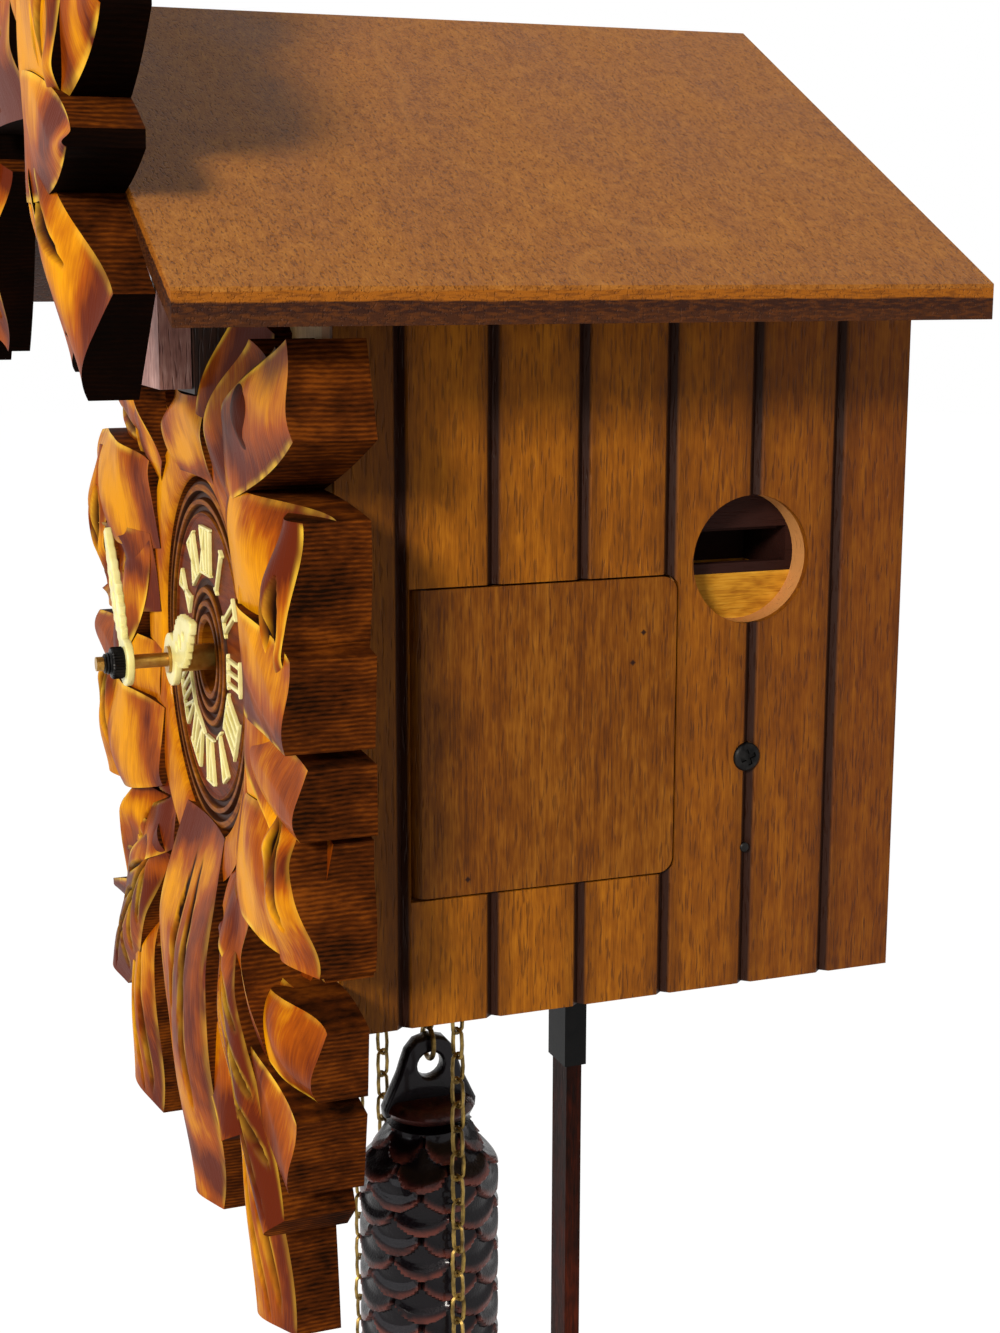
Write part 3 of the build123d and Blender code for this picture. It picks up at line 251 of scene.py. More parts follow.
for name, (spot, across, watts, colour) in lamps.items():
    lamp = bpy.data.lights.new(name, "AREA")
    lamp.shape = "DISK"
    lamp.size = across
    lamp.energy = watts
    lamp.color = colour
    lampObject = bpy.data.objects.new(name, lamp)
    lampObject.location = spot
    lampObject.rotation_euler = (Vector(spot) - Vector(lampAim)).to_track_quat("Z", "Y").to_euler()
    scene.collection.objects.link(lampObject)
print("camera and lamps placed")


# shader expressions

def paint(red, green, blue):  # a colour as it looks on screen, 0 to 255
    def channel(value):
        value /= 255
        return value / 12.92 if value <= 0.04045 else ((value + 0.055) / 1.055) ** 2.4
    return (channel(red), channel(green), channel(blue), 1.0)


def plug(tree, socket, value):  # value is a wire, a number or a colour
    if isinstance(value, Wire):
        tree.links.new(value.socket, socket)
    else:
        socket.default_value = value


def operator(name, swapped=False):
    def worked(one, other):
        return one.work(name, other, one) if swapped else one.work(name, one, other)
    return worked


class Wire:  # one output of a node
    def __init__(self, tree, socket):
        self.tree = tree
        self.socket = socket

    def work(self, operation, *values):
        node = self.tree.nodes.new("ShaderNodeMath")
        node.operation = operation
        for socket, value in zip(node.inputs, values):
            plug(self.tree, socket, value)
        return Wire(self.tree, node.outputs[0])

    __add__ = operator("ADD")
    __radd__ = operator("ADD", True)
    __sub__ = operator("SUBTRACT")
    __rsub__ = operator("SUBTRACT", True)
    __mul__ = operator("MULTIPLY")
    __rmul__ = operator("MULTIPLY", True)
    __truediv__ = operator("DIVIDE")
    __mod__ = operator("FLOORED_MODULO")
    __gt__ = operator("GREATER_THAN")
    __lt__ = operator("LESS_THAN")

    def __abs__(self):
        return self.work("ABSOLUTE", self)

    def rise(self, low, high):  # 0 up to low, 1 from high
        share = (self - low) * (1 / (high - low))
        return self.work("MINIMUM", self.work("MAXIMUM", share, 0.0), 1.0)


class Finish:  # a material while it is built
    def __init__(self, name):
        self.material = bpy.data.materials.new(name)
        self.material.use_nodes = True
        self.tree = self.material.node_tree
        self.tree.nodes.clear()
        self.place = self.node("TexCoord", {}, "Object")

    def node(self, kind, inputs, output=0, **settings):  # one node and one of its outputs
        node = self.tree.nodes.new("ShaderNode" + kind)
        setAll(node, settings)
        for key, value in inputs.items():
            plug(self.tree, node.inputs[key], value)
        return Wire(self.tree, node.outputs[output])

    def axis(self, which):
        return self.node("SeparateXYZ", {0: self.place}, which)

    def noise(self, sizes, detail=2.0, rough=0.5):  # sizes of a blotch along X, Y and Z, in mm
        scale = [1000 / size for size in sizes]
        stretched = self.node("Mapping", {"Vector": self.place, "Scale": scale})
        inputs = {"Vector": stretched, "Scale": 1.0, "Detail": detail, "Roughness": rough}
        return self.node("TexNoise", inputs)

    def mix(self, mask, first, second):
        node = self.tree.nodes.new("ShaderNodeMix")
        node.data_type = "RGBA"
        plug(self.tree, node.inputs[0], mask)
        plug(self.tree, node.inputs[6], first)
        plug(self.tree, node.inputs[7], second)
        return Wire(self.tree, node.outputs[2])

    def ramp(self, factor, stops, colours):  # from the dark colour over the middle one to the light one
        node = self.tree.nodes.new("ShaderNodeValToRGB")
        node.color_ramp.elements.new(0.5)
        for element, position, key in zip(node.color_ramp.elements, stops, ("dark", "middle", "light")):
            element.position = position
            element.color = colours[key]
        plug(self.tree, node.inputs["Fac"], factor)
        return Wire(self.tree, node.outputs[0])

    def mark(self, name):  # a number stored on the mesh
        return self.node("Attribute", {}, "Fac", attribute_name=name)

    def done(self, colour, roughness, height, depth, **fixed):  # depth of the relief in mm
        inputs = {"Base Color": colour, "Roughness": roughness}
        for key, value in fixed.items():
            inputs[{"metal": "Metallic", "coat": "Coat Weight", "coatRough": "Coat Roughness",
                    "shine": "Specular IOR Level"}[key]] = value
        inputs["Normal"] = self.node("Bump", {"Height": height, "Distance": depth * mm})
        self.send(self.node("BsdfPrincipled", inputs))
        return self.material

    def send(self, shader):
        output = self.tree.nodes.new("ShaderNodeOutputMaterial")
        self.tree.links.new(shader.socket, output.inputs["Surface"])


def seenRay(tree):  # 1 for what the camera sees, also in a reflection or through glass
    rays = tree.nodes.new("ShaderNodeLightPath").outputs
    seen = Wire(tree, rays["Is Camera Ray"])
    for kind in ("Is Glossy Ray", "Is Transmission Ray"):
        seen = seen + Wire(tree, rays[kind])
    return seen.rise(0.0, 1.0)


def floorPaper():  # white where it is seen, with some of the shadow kept
    finish = Finish("floorPaper")
    cloud = finish.noise((60, 60, 60))
    paper = finish.mix(cloud * 0.1, paint(236, 234, 230), paint(220, 218, 214))
    plain = finish.node("BsdfDiffuse", {"Color": paper})
    glow = finish.node("Emission", {"Color": (1, 1, 1, 1), "Strength": stage["glow"]})
    lit = seenRay(finish.tree) * stage["floorLit"]
    finish.send(finish.node("MixShader", {0: lit, 1: plain, 2: glow}))
    return finish.material


floor = added(bpy.ops.mesh.primitive_circle_add, vertices=64, radius=stage["floorRadius"], fill_type="NGON",
              location=(0, 0, stage["floorZ"]))
floor.name = "floor"
floor.data.materials.append(floorPaper())

world = bpy.data.worlds.new("room")
scene.world = world
world.use_nodes = True
tree = world.node_tree
tree.nodes.clear()
background = tree.nodes.new("ShaderNodeBackground")
background.inputs["Color"].default_value = (1.0, 1.0, 1.0, 1.0)
strength = seenRay(tree) * (stage["seen"] - stage["ambient"]) + stage["ambient"]
plug(tree, background.inputs["Strength"], strength)
worldOut = tree.nodes.new("ShaderNodeOutputWorld")
tree.links.new(background.outputs[0], worldOut.inputs["Surface"])
print("stage set")

# woods of the case and the roof

def tones(dark, middle, light):
    return {"dark": paint(*dark), "middle": paint(*middle), "light": paint(*light)}


casePly = {
    **tones((62, 28, 4), (128, 70, 8), (176, 108, 20)),
    "groove": paint(38, 16, 6),
    "bare": paint(190, 132, 76),
    "back": paint(92, 44, 16),  # painted shade towards the back
    # painted light towards the front
    "front": paint(184, 110, 12),
    "firstGroove": 12.5,  # mm behind the front edge
    "pitch": 18.2,
    "halfGroove": 1.35,
    "grooveDepth": 1.6,
}
doorPly = {
    **tones((70, 32, 4), (112, 60, 6), (150, 92, 22)),
    "dots": [(59.4, 68.2), (61.6, 74.0), (25.4, 28.4)],  # mm behind the front and above the bottom
}
roofPly = {
    **tones((92, 48, 14), (148, 90, 32), (182, 120, 50)),
    "topPly": paint(150, 86, 20),
    "corePly": paint(46, 20, 8),
    "lowPly": paint(58, 28, 10),
    "thickness": 5.6,
    "slope": math.radians(28.1),
    "flat": 2.0,
}


def plyGrain(finish, colours, grainAxis, flecks, blotch=1.0):
    # the fibres run along grainAxis, which is 0, 1 or 2 for X, Y or Z
    def sizes(across, along):
        return [along if axis == grainAxis else across for axis in range(3)]

    cloud = finish.noise(sizes(14, 34), 3, 0.6)
    figure = finish.noise(sizes(2.6, 5.5), 2, 0.6)
    streak = finish.noise(sizes(1.0, 34), 3, 0.6)
    fibre = finish.noise(sizes(0.33, 5.0), 2, 0.6)
    pore = finish.noise(sizes(0.5, 4.2), 1, 0.4).rise(0.58, 0.70)
    tone = (cloud * 0.28 + figure * 0.30 - 0.29) * blotch + 0.29 + streak * 0.20 + fibre * 0.22
    colour = finish.ramp(tone, (0.38, 0.49, 0.62), colours)
    colour = finish.mix(pore * flecks, colour, colours["dark"])
    return colour, fibre * 0.6 - pore, cloud


def casePanel():
    finish = Finish("casePly")
    colour, height, cloud = plyGrain(finish, casePly, 2, 0.75, 0.7)
    behind = (finish.axis("Y") - caseFront) * 1000 - casePly["firstGroove"] + casePly["pitch"] / 2
    offset = abs(behind % casePly["pitch"] - casePly["pitch"] / 2)
    depth = (caseOuter - abs(finish.axis("X"))) * 1000
    # painted shade towards the back of the panel and painted light towards its front
    back = behind.rise(20.0, 105.0)
    colour = finish.mix(back * 0.55, colour, casePly["back"])
    colour = finish.mix((1 - back) * 0.24, colour, casePly["front"])
    # painted shadow of the carved frame on the front strip of the side panel, up to the first groove
    colour = finish.mix((1 - behind.rise(7.0, 9.0)) * 0.45, colour, casePly["dark"])
    stainAndShade = 1 - offset.rise(1.0, 5.0)
    colour = finish.mix(stainAndShade * 0.5, colour, casePly["dark"])
    groove = (offset < casePly["halfGroove"]) * depth.rise(0.1, 0.5)
    colour = finish.mix(groove, colour, casePly["groove"])
    colour = finish.mix(depth > casePly["grooveDepth"], colour, casePly["bare"])
    return finish.done(colour, 0.38 + 0.14 * cloud, height, 0.10, shine=0.12)


def doorPanel():
    finish = Finish("doorPly")
    colour, height, cloud = plyGrain(finish, doorPly, 2, 0.5, 0.6)
    behind = (finish.axis("Y") - caseFront) * 1000
    up = (finish.axis("Z") - caseBottom) * 1000
    for dotY, dotZ in doorPly["dots"]:
        near = abs(behind - dotY) + abs(up - dotZ)
        colour = finish.mix(1 - near.rise(0.4, 0.8), colour, casePly["groove"])
    # painted shade: parts of the door more than 0.3 mm behind the panel face are darkened halfway to the
    # groove colour
    depth = (caseOuter - abs(finish.axis("X"))) * 1000
    colour = finish.mix((depth > 0.3) * 0.5, colour, casePly["groove"])
    return finish.done(colour, 0.36 + 0.14 * cloud, height, 0.08, shine=0.12)


def roofSheet():
    finish = Finish("roofPly")
    colour, height, cloud = plyGrain(finish, roofPly, 0, 0.55, 0.45)
    wave = finish.noise((40, 60, 40), 1, 0.3)
    line = 1 - abs((finish.axis("Y") * 9 + wave * 2.2) % 1.0 - 0.5).rise(0.0, 0.035)
    colour = finish.mix(line * 0.30, colour, roofPly["light"])
    reach = abs(finish.axis("X")) - roofPly["flat"] * mm
    across = roofPly["thickness"] / math.cos(roofPly["slope"])
    wobble = finish.noise((2.4, 7, 1.2), 2) - 0.5
    below = ridgeZ - finish.axis("Z") - reach * math.tan(roofPly["slope"])
    depth = below * 1000 / across + wobble * 0.14
    edge = finish.mix(depth.rise(0.36, 0.40), roofPly["topPly"], roofPly["corePly"])
    edge = finish.mix(depth.rise(0.68, 0.72), edge, roofPly["lowPly"])
    fleck = finish.noise((0.7, 2.6, 0.5), 2).rise(0.46, 0.62)
    edge = finish.mix(fleck * 0.55, edge, roofPly["dark"])
    colour = finish.mix(depth > 0.12, colour, edge)
    return finish.done(colour, 0.42 + 0.16 * cloud, height, 0.12, shine=0.12)


def plainBoard(name, grainAxis, colours, flecks=0.4, **fixed):
    finish = Finish(name)
    colour, height, cloud = plyGrain(finish, colours, grainAxis, flecks)
    return finish.done(colour, 0.45 + 0.2 * cloud, height, 0.08, **fixed)


whistleWood = {
    **tones((150, 92, 22), (196, 136, 36), (218, 164, 60)),
    # two dark tones of painted shade for the whistles' upper parts inside the case
    "stainAndShade": paint(20, 9, 7),
    "paleShade": paint(52, 24, 18),
    "mouth": 83.5,  # mm above the case bottom, with painted shade above and plain wood below
}
bareWood = tones((150, 104, 58), (192, 148, 92), (214, 176, 120))
plumWood = tones((104, 62, 56), (152, 106, 96), (198, 156, 146))
surroundWood = tones((22, 10, 6), (44, 22, 12), (74, 40, 22))
rodWood = tones((24, 8, 4), (52, 18, 8), (82, 30, 14))


def whistleBoard():
    finish = Finish("whistleWood")
    golden, height, cloud = plyGrain(finish, whistleWood, 1, 0.3)
    # painted shade above the mouth height, plain golden wood below
    shaded = finish.mix(cloud, whistleWood["stainAndShade"], whistleWood["paleShade"])
    up = (finish.axis("Z") - caseBottom) * 1000
    colour = finish.mix(up > whistleWood["mouth"], golden, shaded)
    return finish.done(colour, 0.5 + 0.2 * cloud, height, 0.08, shine=0.1)


# carved and turned wood

carvedWood = {
    **tones((88, 28, 3), (152, 70, 2), (218, 144, 4)),
    # painted shade for the cuts and a painted highlight for the rims
    "slitShade": paint(26, 9, 3),
    "edge": paint(240, 194, 56),
}
sawnWood = {
    **tones((24, 10, 4), (72, 32, 8), (124, 62, 14)),
    "shade": paint(6, 3, 2),
    "pitch": 0.85,  # mm between saw lines
}
dialWood = {
    "field": tones((60, 18, 4), (98, 38, 8), (126, 58, 12)),
    "band": tones((84, 38, 4), (122, 64, 6), (152, 92, 12)),
    "bandFrom": 16.6,  # radius in mm
    "bandTo": 30.4,
    "line": paint(34, 10, 5),
    # radius and half width in mm
    "lines": [(9.9, 0.7), (12.8, 0.7), (15.8, 0.8), (31.45, 0.6), (34.3, 0.8), (37.9, 1.2)],
}


def carvedFace():
    # marks of the carving: relief is 0 in a cut, which is painted with shade, edge 1 on a rim with a painted
    # highlight, and tone runs from brown to yellow
    finish = Finish("carvedGloss")
    relief = finish.mark("relief")
    edge = finish.mark("edge")
    tone = finish.mark("tone")
    cloud = finish.noise((16, 10, 22), 3, 0.6)
    blaze = finish.noise((6, 7, 14), 2, 0.5)
    fibre = finish.noise((0.5, 2, 7), 2, 0.6)
    hue = tone + (cloud - 0.5) * 1.0 + (blaze - 0.5) * 0.55 + (fibre - 0.5) * 0.4
    colour = finish.ramp(hue, (0.20, 0.55, 0.95), carvedWood)
    # painted highlight on the bright rims
    colour = finish.mix(edge * blaze.rise(0.35, 0.6) * 0.8, colour, carvedWood["edge"])
    # painted shade in the cuts and on leaves turned away from the light
    colour = finish.mix((1 - relief).rise(0.05, 0.7), colour, carvedWood["slitShade"])
    return finish.done(colour, 0.42 + 0.15 * cloud, fibre + blaze * 2, 0.10,
                       coat=relief.rise(0.6, 1.0) * 0.08, coatRough=0.12, shine=0.03)


def sawnFace(name, share):  # share of deep shade
    finish = Finish(name)
    wander = finish.noise((8, 14, 14), 2, 0.5)
    lines = abs(((finish.axis("Z") * 1000 + wander * 1.6) / sawnWood["pitch"]) % 1.0 - 0.5) * 2
    cloud = finish.noise((14, 14, 9), 3, 0.6)
    fleck = finish.noise((1.6, 2.2, 0.5), 2, 0.6)
    tone = lines.rise(0.0, 1.0) * 0.13 + cloud * 0.58 + fleck * 0.26
    colour = finish.ramp(tone, (0.34, 0.5, 0.68), sawnWood)
    colour = finish.mix(share, colour, sawnWood["shade"])
    return finish.done(colour, 0.6 + 0.15 * cloud, lines * 0.5 + fleck, 0.10, shine=0.01)


def turnedFace():
    finish = Finish("dialTurned")
    x = finish.axis("X") - dialCentre.x
    z = finish.axis("Z") - dialCentre.z
    radius = (x * x + z * z).work("SQRT", x * x + z * z) * 1000
    grain = finish.noise((22, 8, 1.5), 3, 0.6)
    cloud = finish.noise((9, 9, 12), 2, 0.5)
    fibre = finish.noise((4, 2, 0.4), 2, 0.6)
    tone = grain * 0.5 + cloud * 0.3 + fibre * 0.2
    stops = (0.36, 0.5, 0.64)
    field = finish.ramp(tone, stops, dialWood["field"])
    band = finish.ramp(tone, stops, dialWood["band"])
    colour = finish.mix((radius < dialWood["bandFrom"]) + (radius > dialWood["bandTo"]), field, band)
    for ring, half in dialWood["lines"]:
        near = 1 - abs(radius - ring).rise(half, half + 0.35)
        colour = finish.mix(near * 0.92, colour, dialWood["line"])
    lathe = radius.work("SINE", radius * 9) * 0.3
    return finish.done(colour, 0.34 + 0.15 * cloud, fibre + lathe, 0.06, shine=0.03)


def metal(name, dark, light, roughness, wear=0.5, bump=0.04):
    finish = Finish(name)
    cloud = finish.noise((3, 3, 3), 3, 0.6)
    fine = finish.noise((0.4, 0.4, 1.4), 2, 0.6)
    colour = finish.mix(cloud.rise(0.35, 0.65) * wear + fine * 0.2, dark, light)
    return finish.done(colour, roughness + fine * 0.18, fine + cloud, bump, metal=1.0)


def castIron():
    finish = Finish("castIron")
    rim = finish.mark("rim")
    cloud = finish.noise((5, 5, 4), 3, 0.6)
    pit = finish.noise((0.5, 0.5, 0.5), 2, 0.6)
    colour = finish.mix(cloud * 0.5, paint(6, 5, 9), paint(30, 17, 22))
    colour = finish.mix(rim * cloud.rise(0.3, 0.55) * 0.8, colour, paint(118, 58, 46))
    return finish.done(colour, 0.24 + pit * 0.16, pit + cloud * 2, 0.12,
                       metal=0.5, coat=0.22, coatRough=0.08, shine=0.15)


def moulded(name, dark, light, roughness, **fixed):
    finish = Finish(name)
    cloud = finish.noise((4, 4, 4), 2, 0.5)
    fine = finish.noise((0.3, 0.3, 0.3), 2, 0.6)
    colour = finish.mix(cloud.rise(0.3, 0.7), dark, light)
    return finish.done(colour, roughness + fine * 0.12, fine, 0.03, **fixed)


def weave():
    finish = Finish("bellowsCloth")
    across = finish.axis("Y").work("SINE", finish.axis("Y") * 9000)
    along = finish.axis("X").work("SINE", finish.axis("X") * 9000)
    cloud = finish.noise((6, 6, 6), 2, 0.5)
    colour = finish.mix(cloud, paint(208, 198, 172), paint(232, 226, 206))
    return finish.done(colour, 0.85, across + along, 0.05, shine=0.2)


finishes = {
    "case": casePanel(),
    "door": doorPanel(),
    "roof": roofSheet(),
    "bare": plainBoard("bareWood", 2, bareWood),
    "whistle": whistleBoard(),
    "plum": plainBoard("plumWood", 2, plumWood, 0.7),
    "surround": plainBoard("surroundWood", 2, surroundWood),
    "rod": plainBoard("rodWood", 2, rodWood, 0.3, shine=0.06),
    "carved": carvedFace(),
    "sawn": sawnFace("sawnEdge", 0.0),
    # a shaded copy of the sawn finish: painted shade for walls
    "sawnShaded": sawnFace("sawnEdgeShaded", 0.97),
    "turned": turnedFace(),
    "cream": moulded("creamPlastic", paint(222, 210, 128), paint(238, 230, 164), 0.3, coat=0.15),
    "brass": metal("brass", paint(170, 126, 52), paint(214, 176, 96), 0.28),
    "antique": metal("antiqueBrass", paint(66, 50, 26), paint(160, 132, 72), 0.34, 0.9, 0.06),
    "steel": metal("steel", paint(130, 130, 132), paint(190, 190, 192), 0.26),
    "black": metal("blackSteel", paint(14, 14, 15), paint(52, 50, 48), 0.36),
    "iron": castIron(),
    "cap": moulded("blackMoulding", paint(8, 8, 9), paint(18, 17, 17), 0.4, shine=0.1),
    "cloth": weave(),
}
print("finishes made:", len(finishes))

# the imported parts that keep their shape

keptParts = {
    "case": ["side_panel_right", "side_panel_left"],
    "door": ["side_door_right", "side_door_left"],
    "roof": ["roof_panel_right", "roof_panel_left"],
    "whistle": ["whistles"],
    "bare": ["bellows_bases", "bellows_top_left", "bellows_top_right", "glue_blocks", "back_panel",
             "back_gable", "bottom_board", "bird_carriage", "front_board"],
    "plum": ["cuckoo_door"],
    "surround": ["door_surround"],
    "rod": ["pendulum_rod"],
    "brass": ["movement_front_plate", "movement_back_plate", "movement_pillars", "centre_wheel",
              "minute_wheel", "hour_wheel", "time_great_wheel", "third_wheel", "escape_wheel",
              "strike_great_wheel", "pin_wheel", "fly", "time_sprocket", "strike_sprocket"],
    "steel": ["anchor", "hinge_pins", "gong_hammer", "movement_brackets", "pendulum_leader", "hanger_plate"],
    "black": ["wood_screws", "gong"],
    "cap": ["pendulum_cap"],
}
for finishName, parts in keptParts.items():
    for part in parts:
        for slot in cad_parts[part].material_slots:
            slot.material = finishes[finishName]


# carved leaves

def halfWidth(share, base, belly, tip):  # through the three half widths, belly at 0.55 of the length
    middle = 0.55
    curve = base * (share - middle) * (share - 1) / middle
    curve += belly * share * (share - 1) / (middle * (middle - 1))
    curve += tip * share * (share - middle) / (1 - middle)
    return curve / 2


leafForms = {
    # crest: fall of the edges, lean: fall from one edge to the other, hollow: sunk middle, in mm
    # slits: from (along, across) to (along, across), depth and half width in mm
    "triple": {"crest": 2.4, "lean": 1, "hollow": 0, "tone": 0.62,
               "slits": [(0.06, 0.12, 0.74, 0.40, 3.8, 1.5), (0.06, -0.12, 0.72, -0.42, 3.8, 1.5)]},
    "fold": {"crest": 1, "lean": 5, "hollow": 1.2, "tone": 0.72,
             "slits": [(0.12, 0.30, 0.84, 0.66, 3.4, 1.3)]},
    "turn": {"crest": 1, "lean": -5, "hollow": 1.2, "tone": 0.55,
             "slits": [(0.12, -0.30, 0.84, -0.66, 3.4, 1.3)]},
    "cup": {"crest": -1.6, "lean": 1.6, "hollow": 3.4, "tone": 0.40,
            "slits": [(0.15, 0, 0.62, 0.10, 3.2, 1.2)]},
    "blade": {"crest": 3.6, "lean": 1.4, "hollow": 0, "tone": 0.6,
              "slits": [(0.04, 0.10, 0.60, -0.05, 3.4, 1.2), (0.30, -0.60, 0.90, -0.30, 2.2, 1)]},
    "plain": {"crest": 2, "lean": 0.8, "hollow": 0, "tone": 0.75, "slits": []},
    "ledge": {"crest": 0.8, "lean": 0, "hollow": 0, "tone": 0.5, "slits": []},
    # painted shade: a leaf turned away from the light, darkened all over by its shade
    "dusk": {"crest": 2.4, "lean": -2, "hollow": 0.8, "tone": 0, "shade": 0.42, "slits": []},
    "strip": {"crest": 2.2, "lean": 1.6, "hollow": 0, "tone": 0.66,
              "slits": [(0.10, -0.20, 0.98, 0.10, 4, 1.1), (0.25, 0.35, 0.97, 0.50, 2.6, 0.9),
                        (0.30, -0.55, 0.97, -0.40, 2.6, 0.9)]},
    "veined": {"crest": 2, "lean": 0.8, "hollow": 0, "tone": 0.34, "slits": [(0.06, 0, 0.95, 0, 2.4, 0.8)]},
}
# start and end along the leaf, reach across it, and depth
veins = [(0.16, 0.42, 0.80, 1.8), (0.36, 0.64, 0.78, 1.8), (0.58, 0.84, 0.70, 1.6)]
for side in (0.1, -0.1):
    for start, end, reach, deep in veins:
        leafForms["veined"]["slits"].append((start, side, end, math.copysign(reach, side), deep, 0.6))
leafShape = {
    "across": 38,  # faces of the grid
    "along": 54,
    "root": 3.4,  # how much lower a leaf starts, in mm
    "ripple": 0.7,
    "left": 2.0,  # mm behind the deepest cut
    "rim": 9.0,  # height of the carving at the dial, in mm
    "slope": 0.3,  # its rise away from the dial
}


def carve(form, share, side, half, fall):
    # depth below the front in mm, how deep in a cut, which the finish paints as shade with the form's painted
    # shade as a floor, nearness to a rim with a painted highlight, and how yellow, browner where deeper as
    # painted shade
    shape = leafForms[form]
    depth = shape["crest"] * abs(side) ** 2.0 + shape["hollow"] * (1 - side * side) * ease(share, 0.15, 0.6)
    depth += shape["lean"] * side * 0.5 + abs(shape["lean"]) * 0.5
    depth += leafShape["root"] * (1 - ease(share, 0.0, 0.32)) + fall * ease(share, 0.45, 1.0) ** 1.3
    depth += leafShape["ripple"] * math.sin(6.5 * share + 2.6 * side) * ease(share, 0.1, 0.4)
    sunk = edge = 0.0
    shade = shape.get("shade", 0.0)
    for alongStart, sideStart, alongEnd, sideEnd, slitDepth, slitHalf in shape["slits"]:
        step = (share - alongStart) / (alongEnd - alongStart)
        if 0 < step < 1:
            middle = sideStart + (sideEnd - sideStart) * step
            wide = slitHalf * math.sin(math.pi * step) ** 0.7
            away = abs(side - middle) * half
            cut = ease(1 - away / (wide * 1.7 + 0.01), 0.0, 0.85) * math.sin(math.pi * step) ** 0.5
            sunk = max(sunk, cut * slitDepth)
            # painted highlight along the rims of a cut, stronger on one side
            rim = 1 - abs(away - wide * 1.6) / 0.8
            edge = max(edge, rim * math.sin(math.pi * step) * (0.9 if side > middle else 0.5))
    depth = max(0.0, depth) + sunk
    # painted highlight along the leaf's edges, stronger on the edge that the lean keeps high
    border = ease(abs(side), 0.86, 0.98) * (1 - ease(share, 0.97, 1.0)) * ease(share, 0.05, 0.3)
    edge = max(edge, border * (0.9 if side * shape["lean"] <= 0 else 0.4))
    # browner where deeper: painted shade
    tone = shape["tone"] + 0.26 * math.sin(5 * share + 1.7 * side + half) - 0.05 * depth
    return depth, min(1.0, max(shade, sunk / 2.4)), max(0.0, edge) * (1 - shade), tone


def dishRoom(x, height, thick):
    # the carving falls towards the dial, so that the whole dial shows from the side
    radius = math.hypot(x, height - (dialCentre.z - caseBottom) / mm)
    return thick - leafShape["rim"] - leafShape["slope"] * (radius - dialRadius / mm)


def mark(piece, name, values):  # one number for each point, which a finish can read
    layer = piece.data.attributes.new(name, "FLOAT", "POINT")
    for row, value in zip(layer.data, values):
        row.value = value


def marked(piece, **marks):  # the same numbers at all points
    for name, value in marks.items():
        mark(piece, name, [value] * len(piece.data.vertices))
    return piece


def leaf(base, tip, widths, backY, thick, form, low, fall, dished=False):
    # base and tip are x and height in mm above the case bottom, low drops the whole front
    piece = added(bpy.ops.mesh.primitive_grid_add, size=2,
                  x_subdivisions=leafShape["across"], y_subdivisions=leafShape["along"])
    start = Vector(base)
    along = Vector(tip) - start
    length = along.length
    along.normalize()
    across = Vector((-along.y, along.x))
    marks = []
    for vertex in piece.data.vertices:
        side = max(-1.0, min(1.0, vertex.co.x))
        share = (vertex.co.y + 1) / 2
        half = halfWidth(share, *widths)
        depth, sunk, edge, tone = carve(form, share, side, half, fall)
        spot = start + along * length * share + across * half * side
        depth += low
        if dished:
            room = dishRoom(spot.x, spot.y, thick)
            depth = (depth + room + math.sqrt((depth - room) ** 2 + 1.5)) / 2
        depth = min(depth, thick - leafShape["left"])
        vertex.co = (spot.x * mm, backY - (thick - depth) * mm, caseBottom + spot.y * mm)
        marks.append((1 - sunk, edge, tone))
    for name, values in zip(("relief", "edge", "tone"), zip(*marks)):
        mark(piece, name, values)
    edit(piece, select("DESELECT"), (bpy.ops.mesh.select_non_manifold, {}), pull((0, thick * mm, 0)),
         (bpy.ops.mesh.edge_face_add, {}))
    backs = {vertex.index for vertex in piece.data.vertices if vertex.select}
    for index in backs:
        piece.data.vertices[index].co.y = backY
    for face in piece.data.polygons:
        face.material_index = 1 if backs.intersection(face.vertices) else 0
    return edit(piece, (bpy.ops.mesh.normals_make_consistent, {"inside": False}))


def carving(parts, name, body, instead, *faces):  # faces: the front, the sawn walls, and walls that look up, so that walls can take painted shade or painted light by which way they face
    for part in parts:
        walls = [side.index for side in part.data.polygons if side.material_index > 0]
        for finish in faces:
            part.data.materials.append(finishes[finish])
        for index in walls:
            side = part.data.polygons[index]
            side.material_index = 2 if side.normal.z > 0.55 else 1
    finished(joined(parts), name, body, None, [instead], 40)


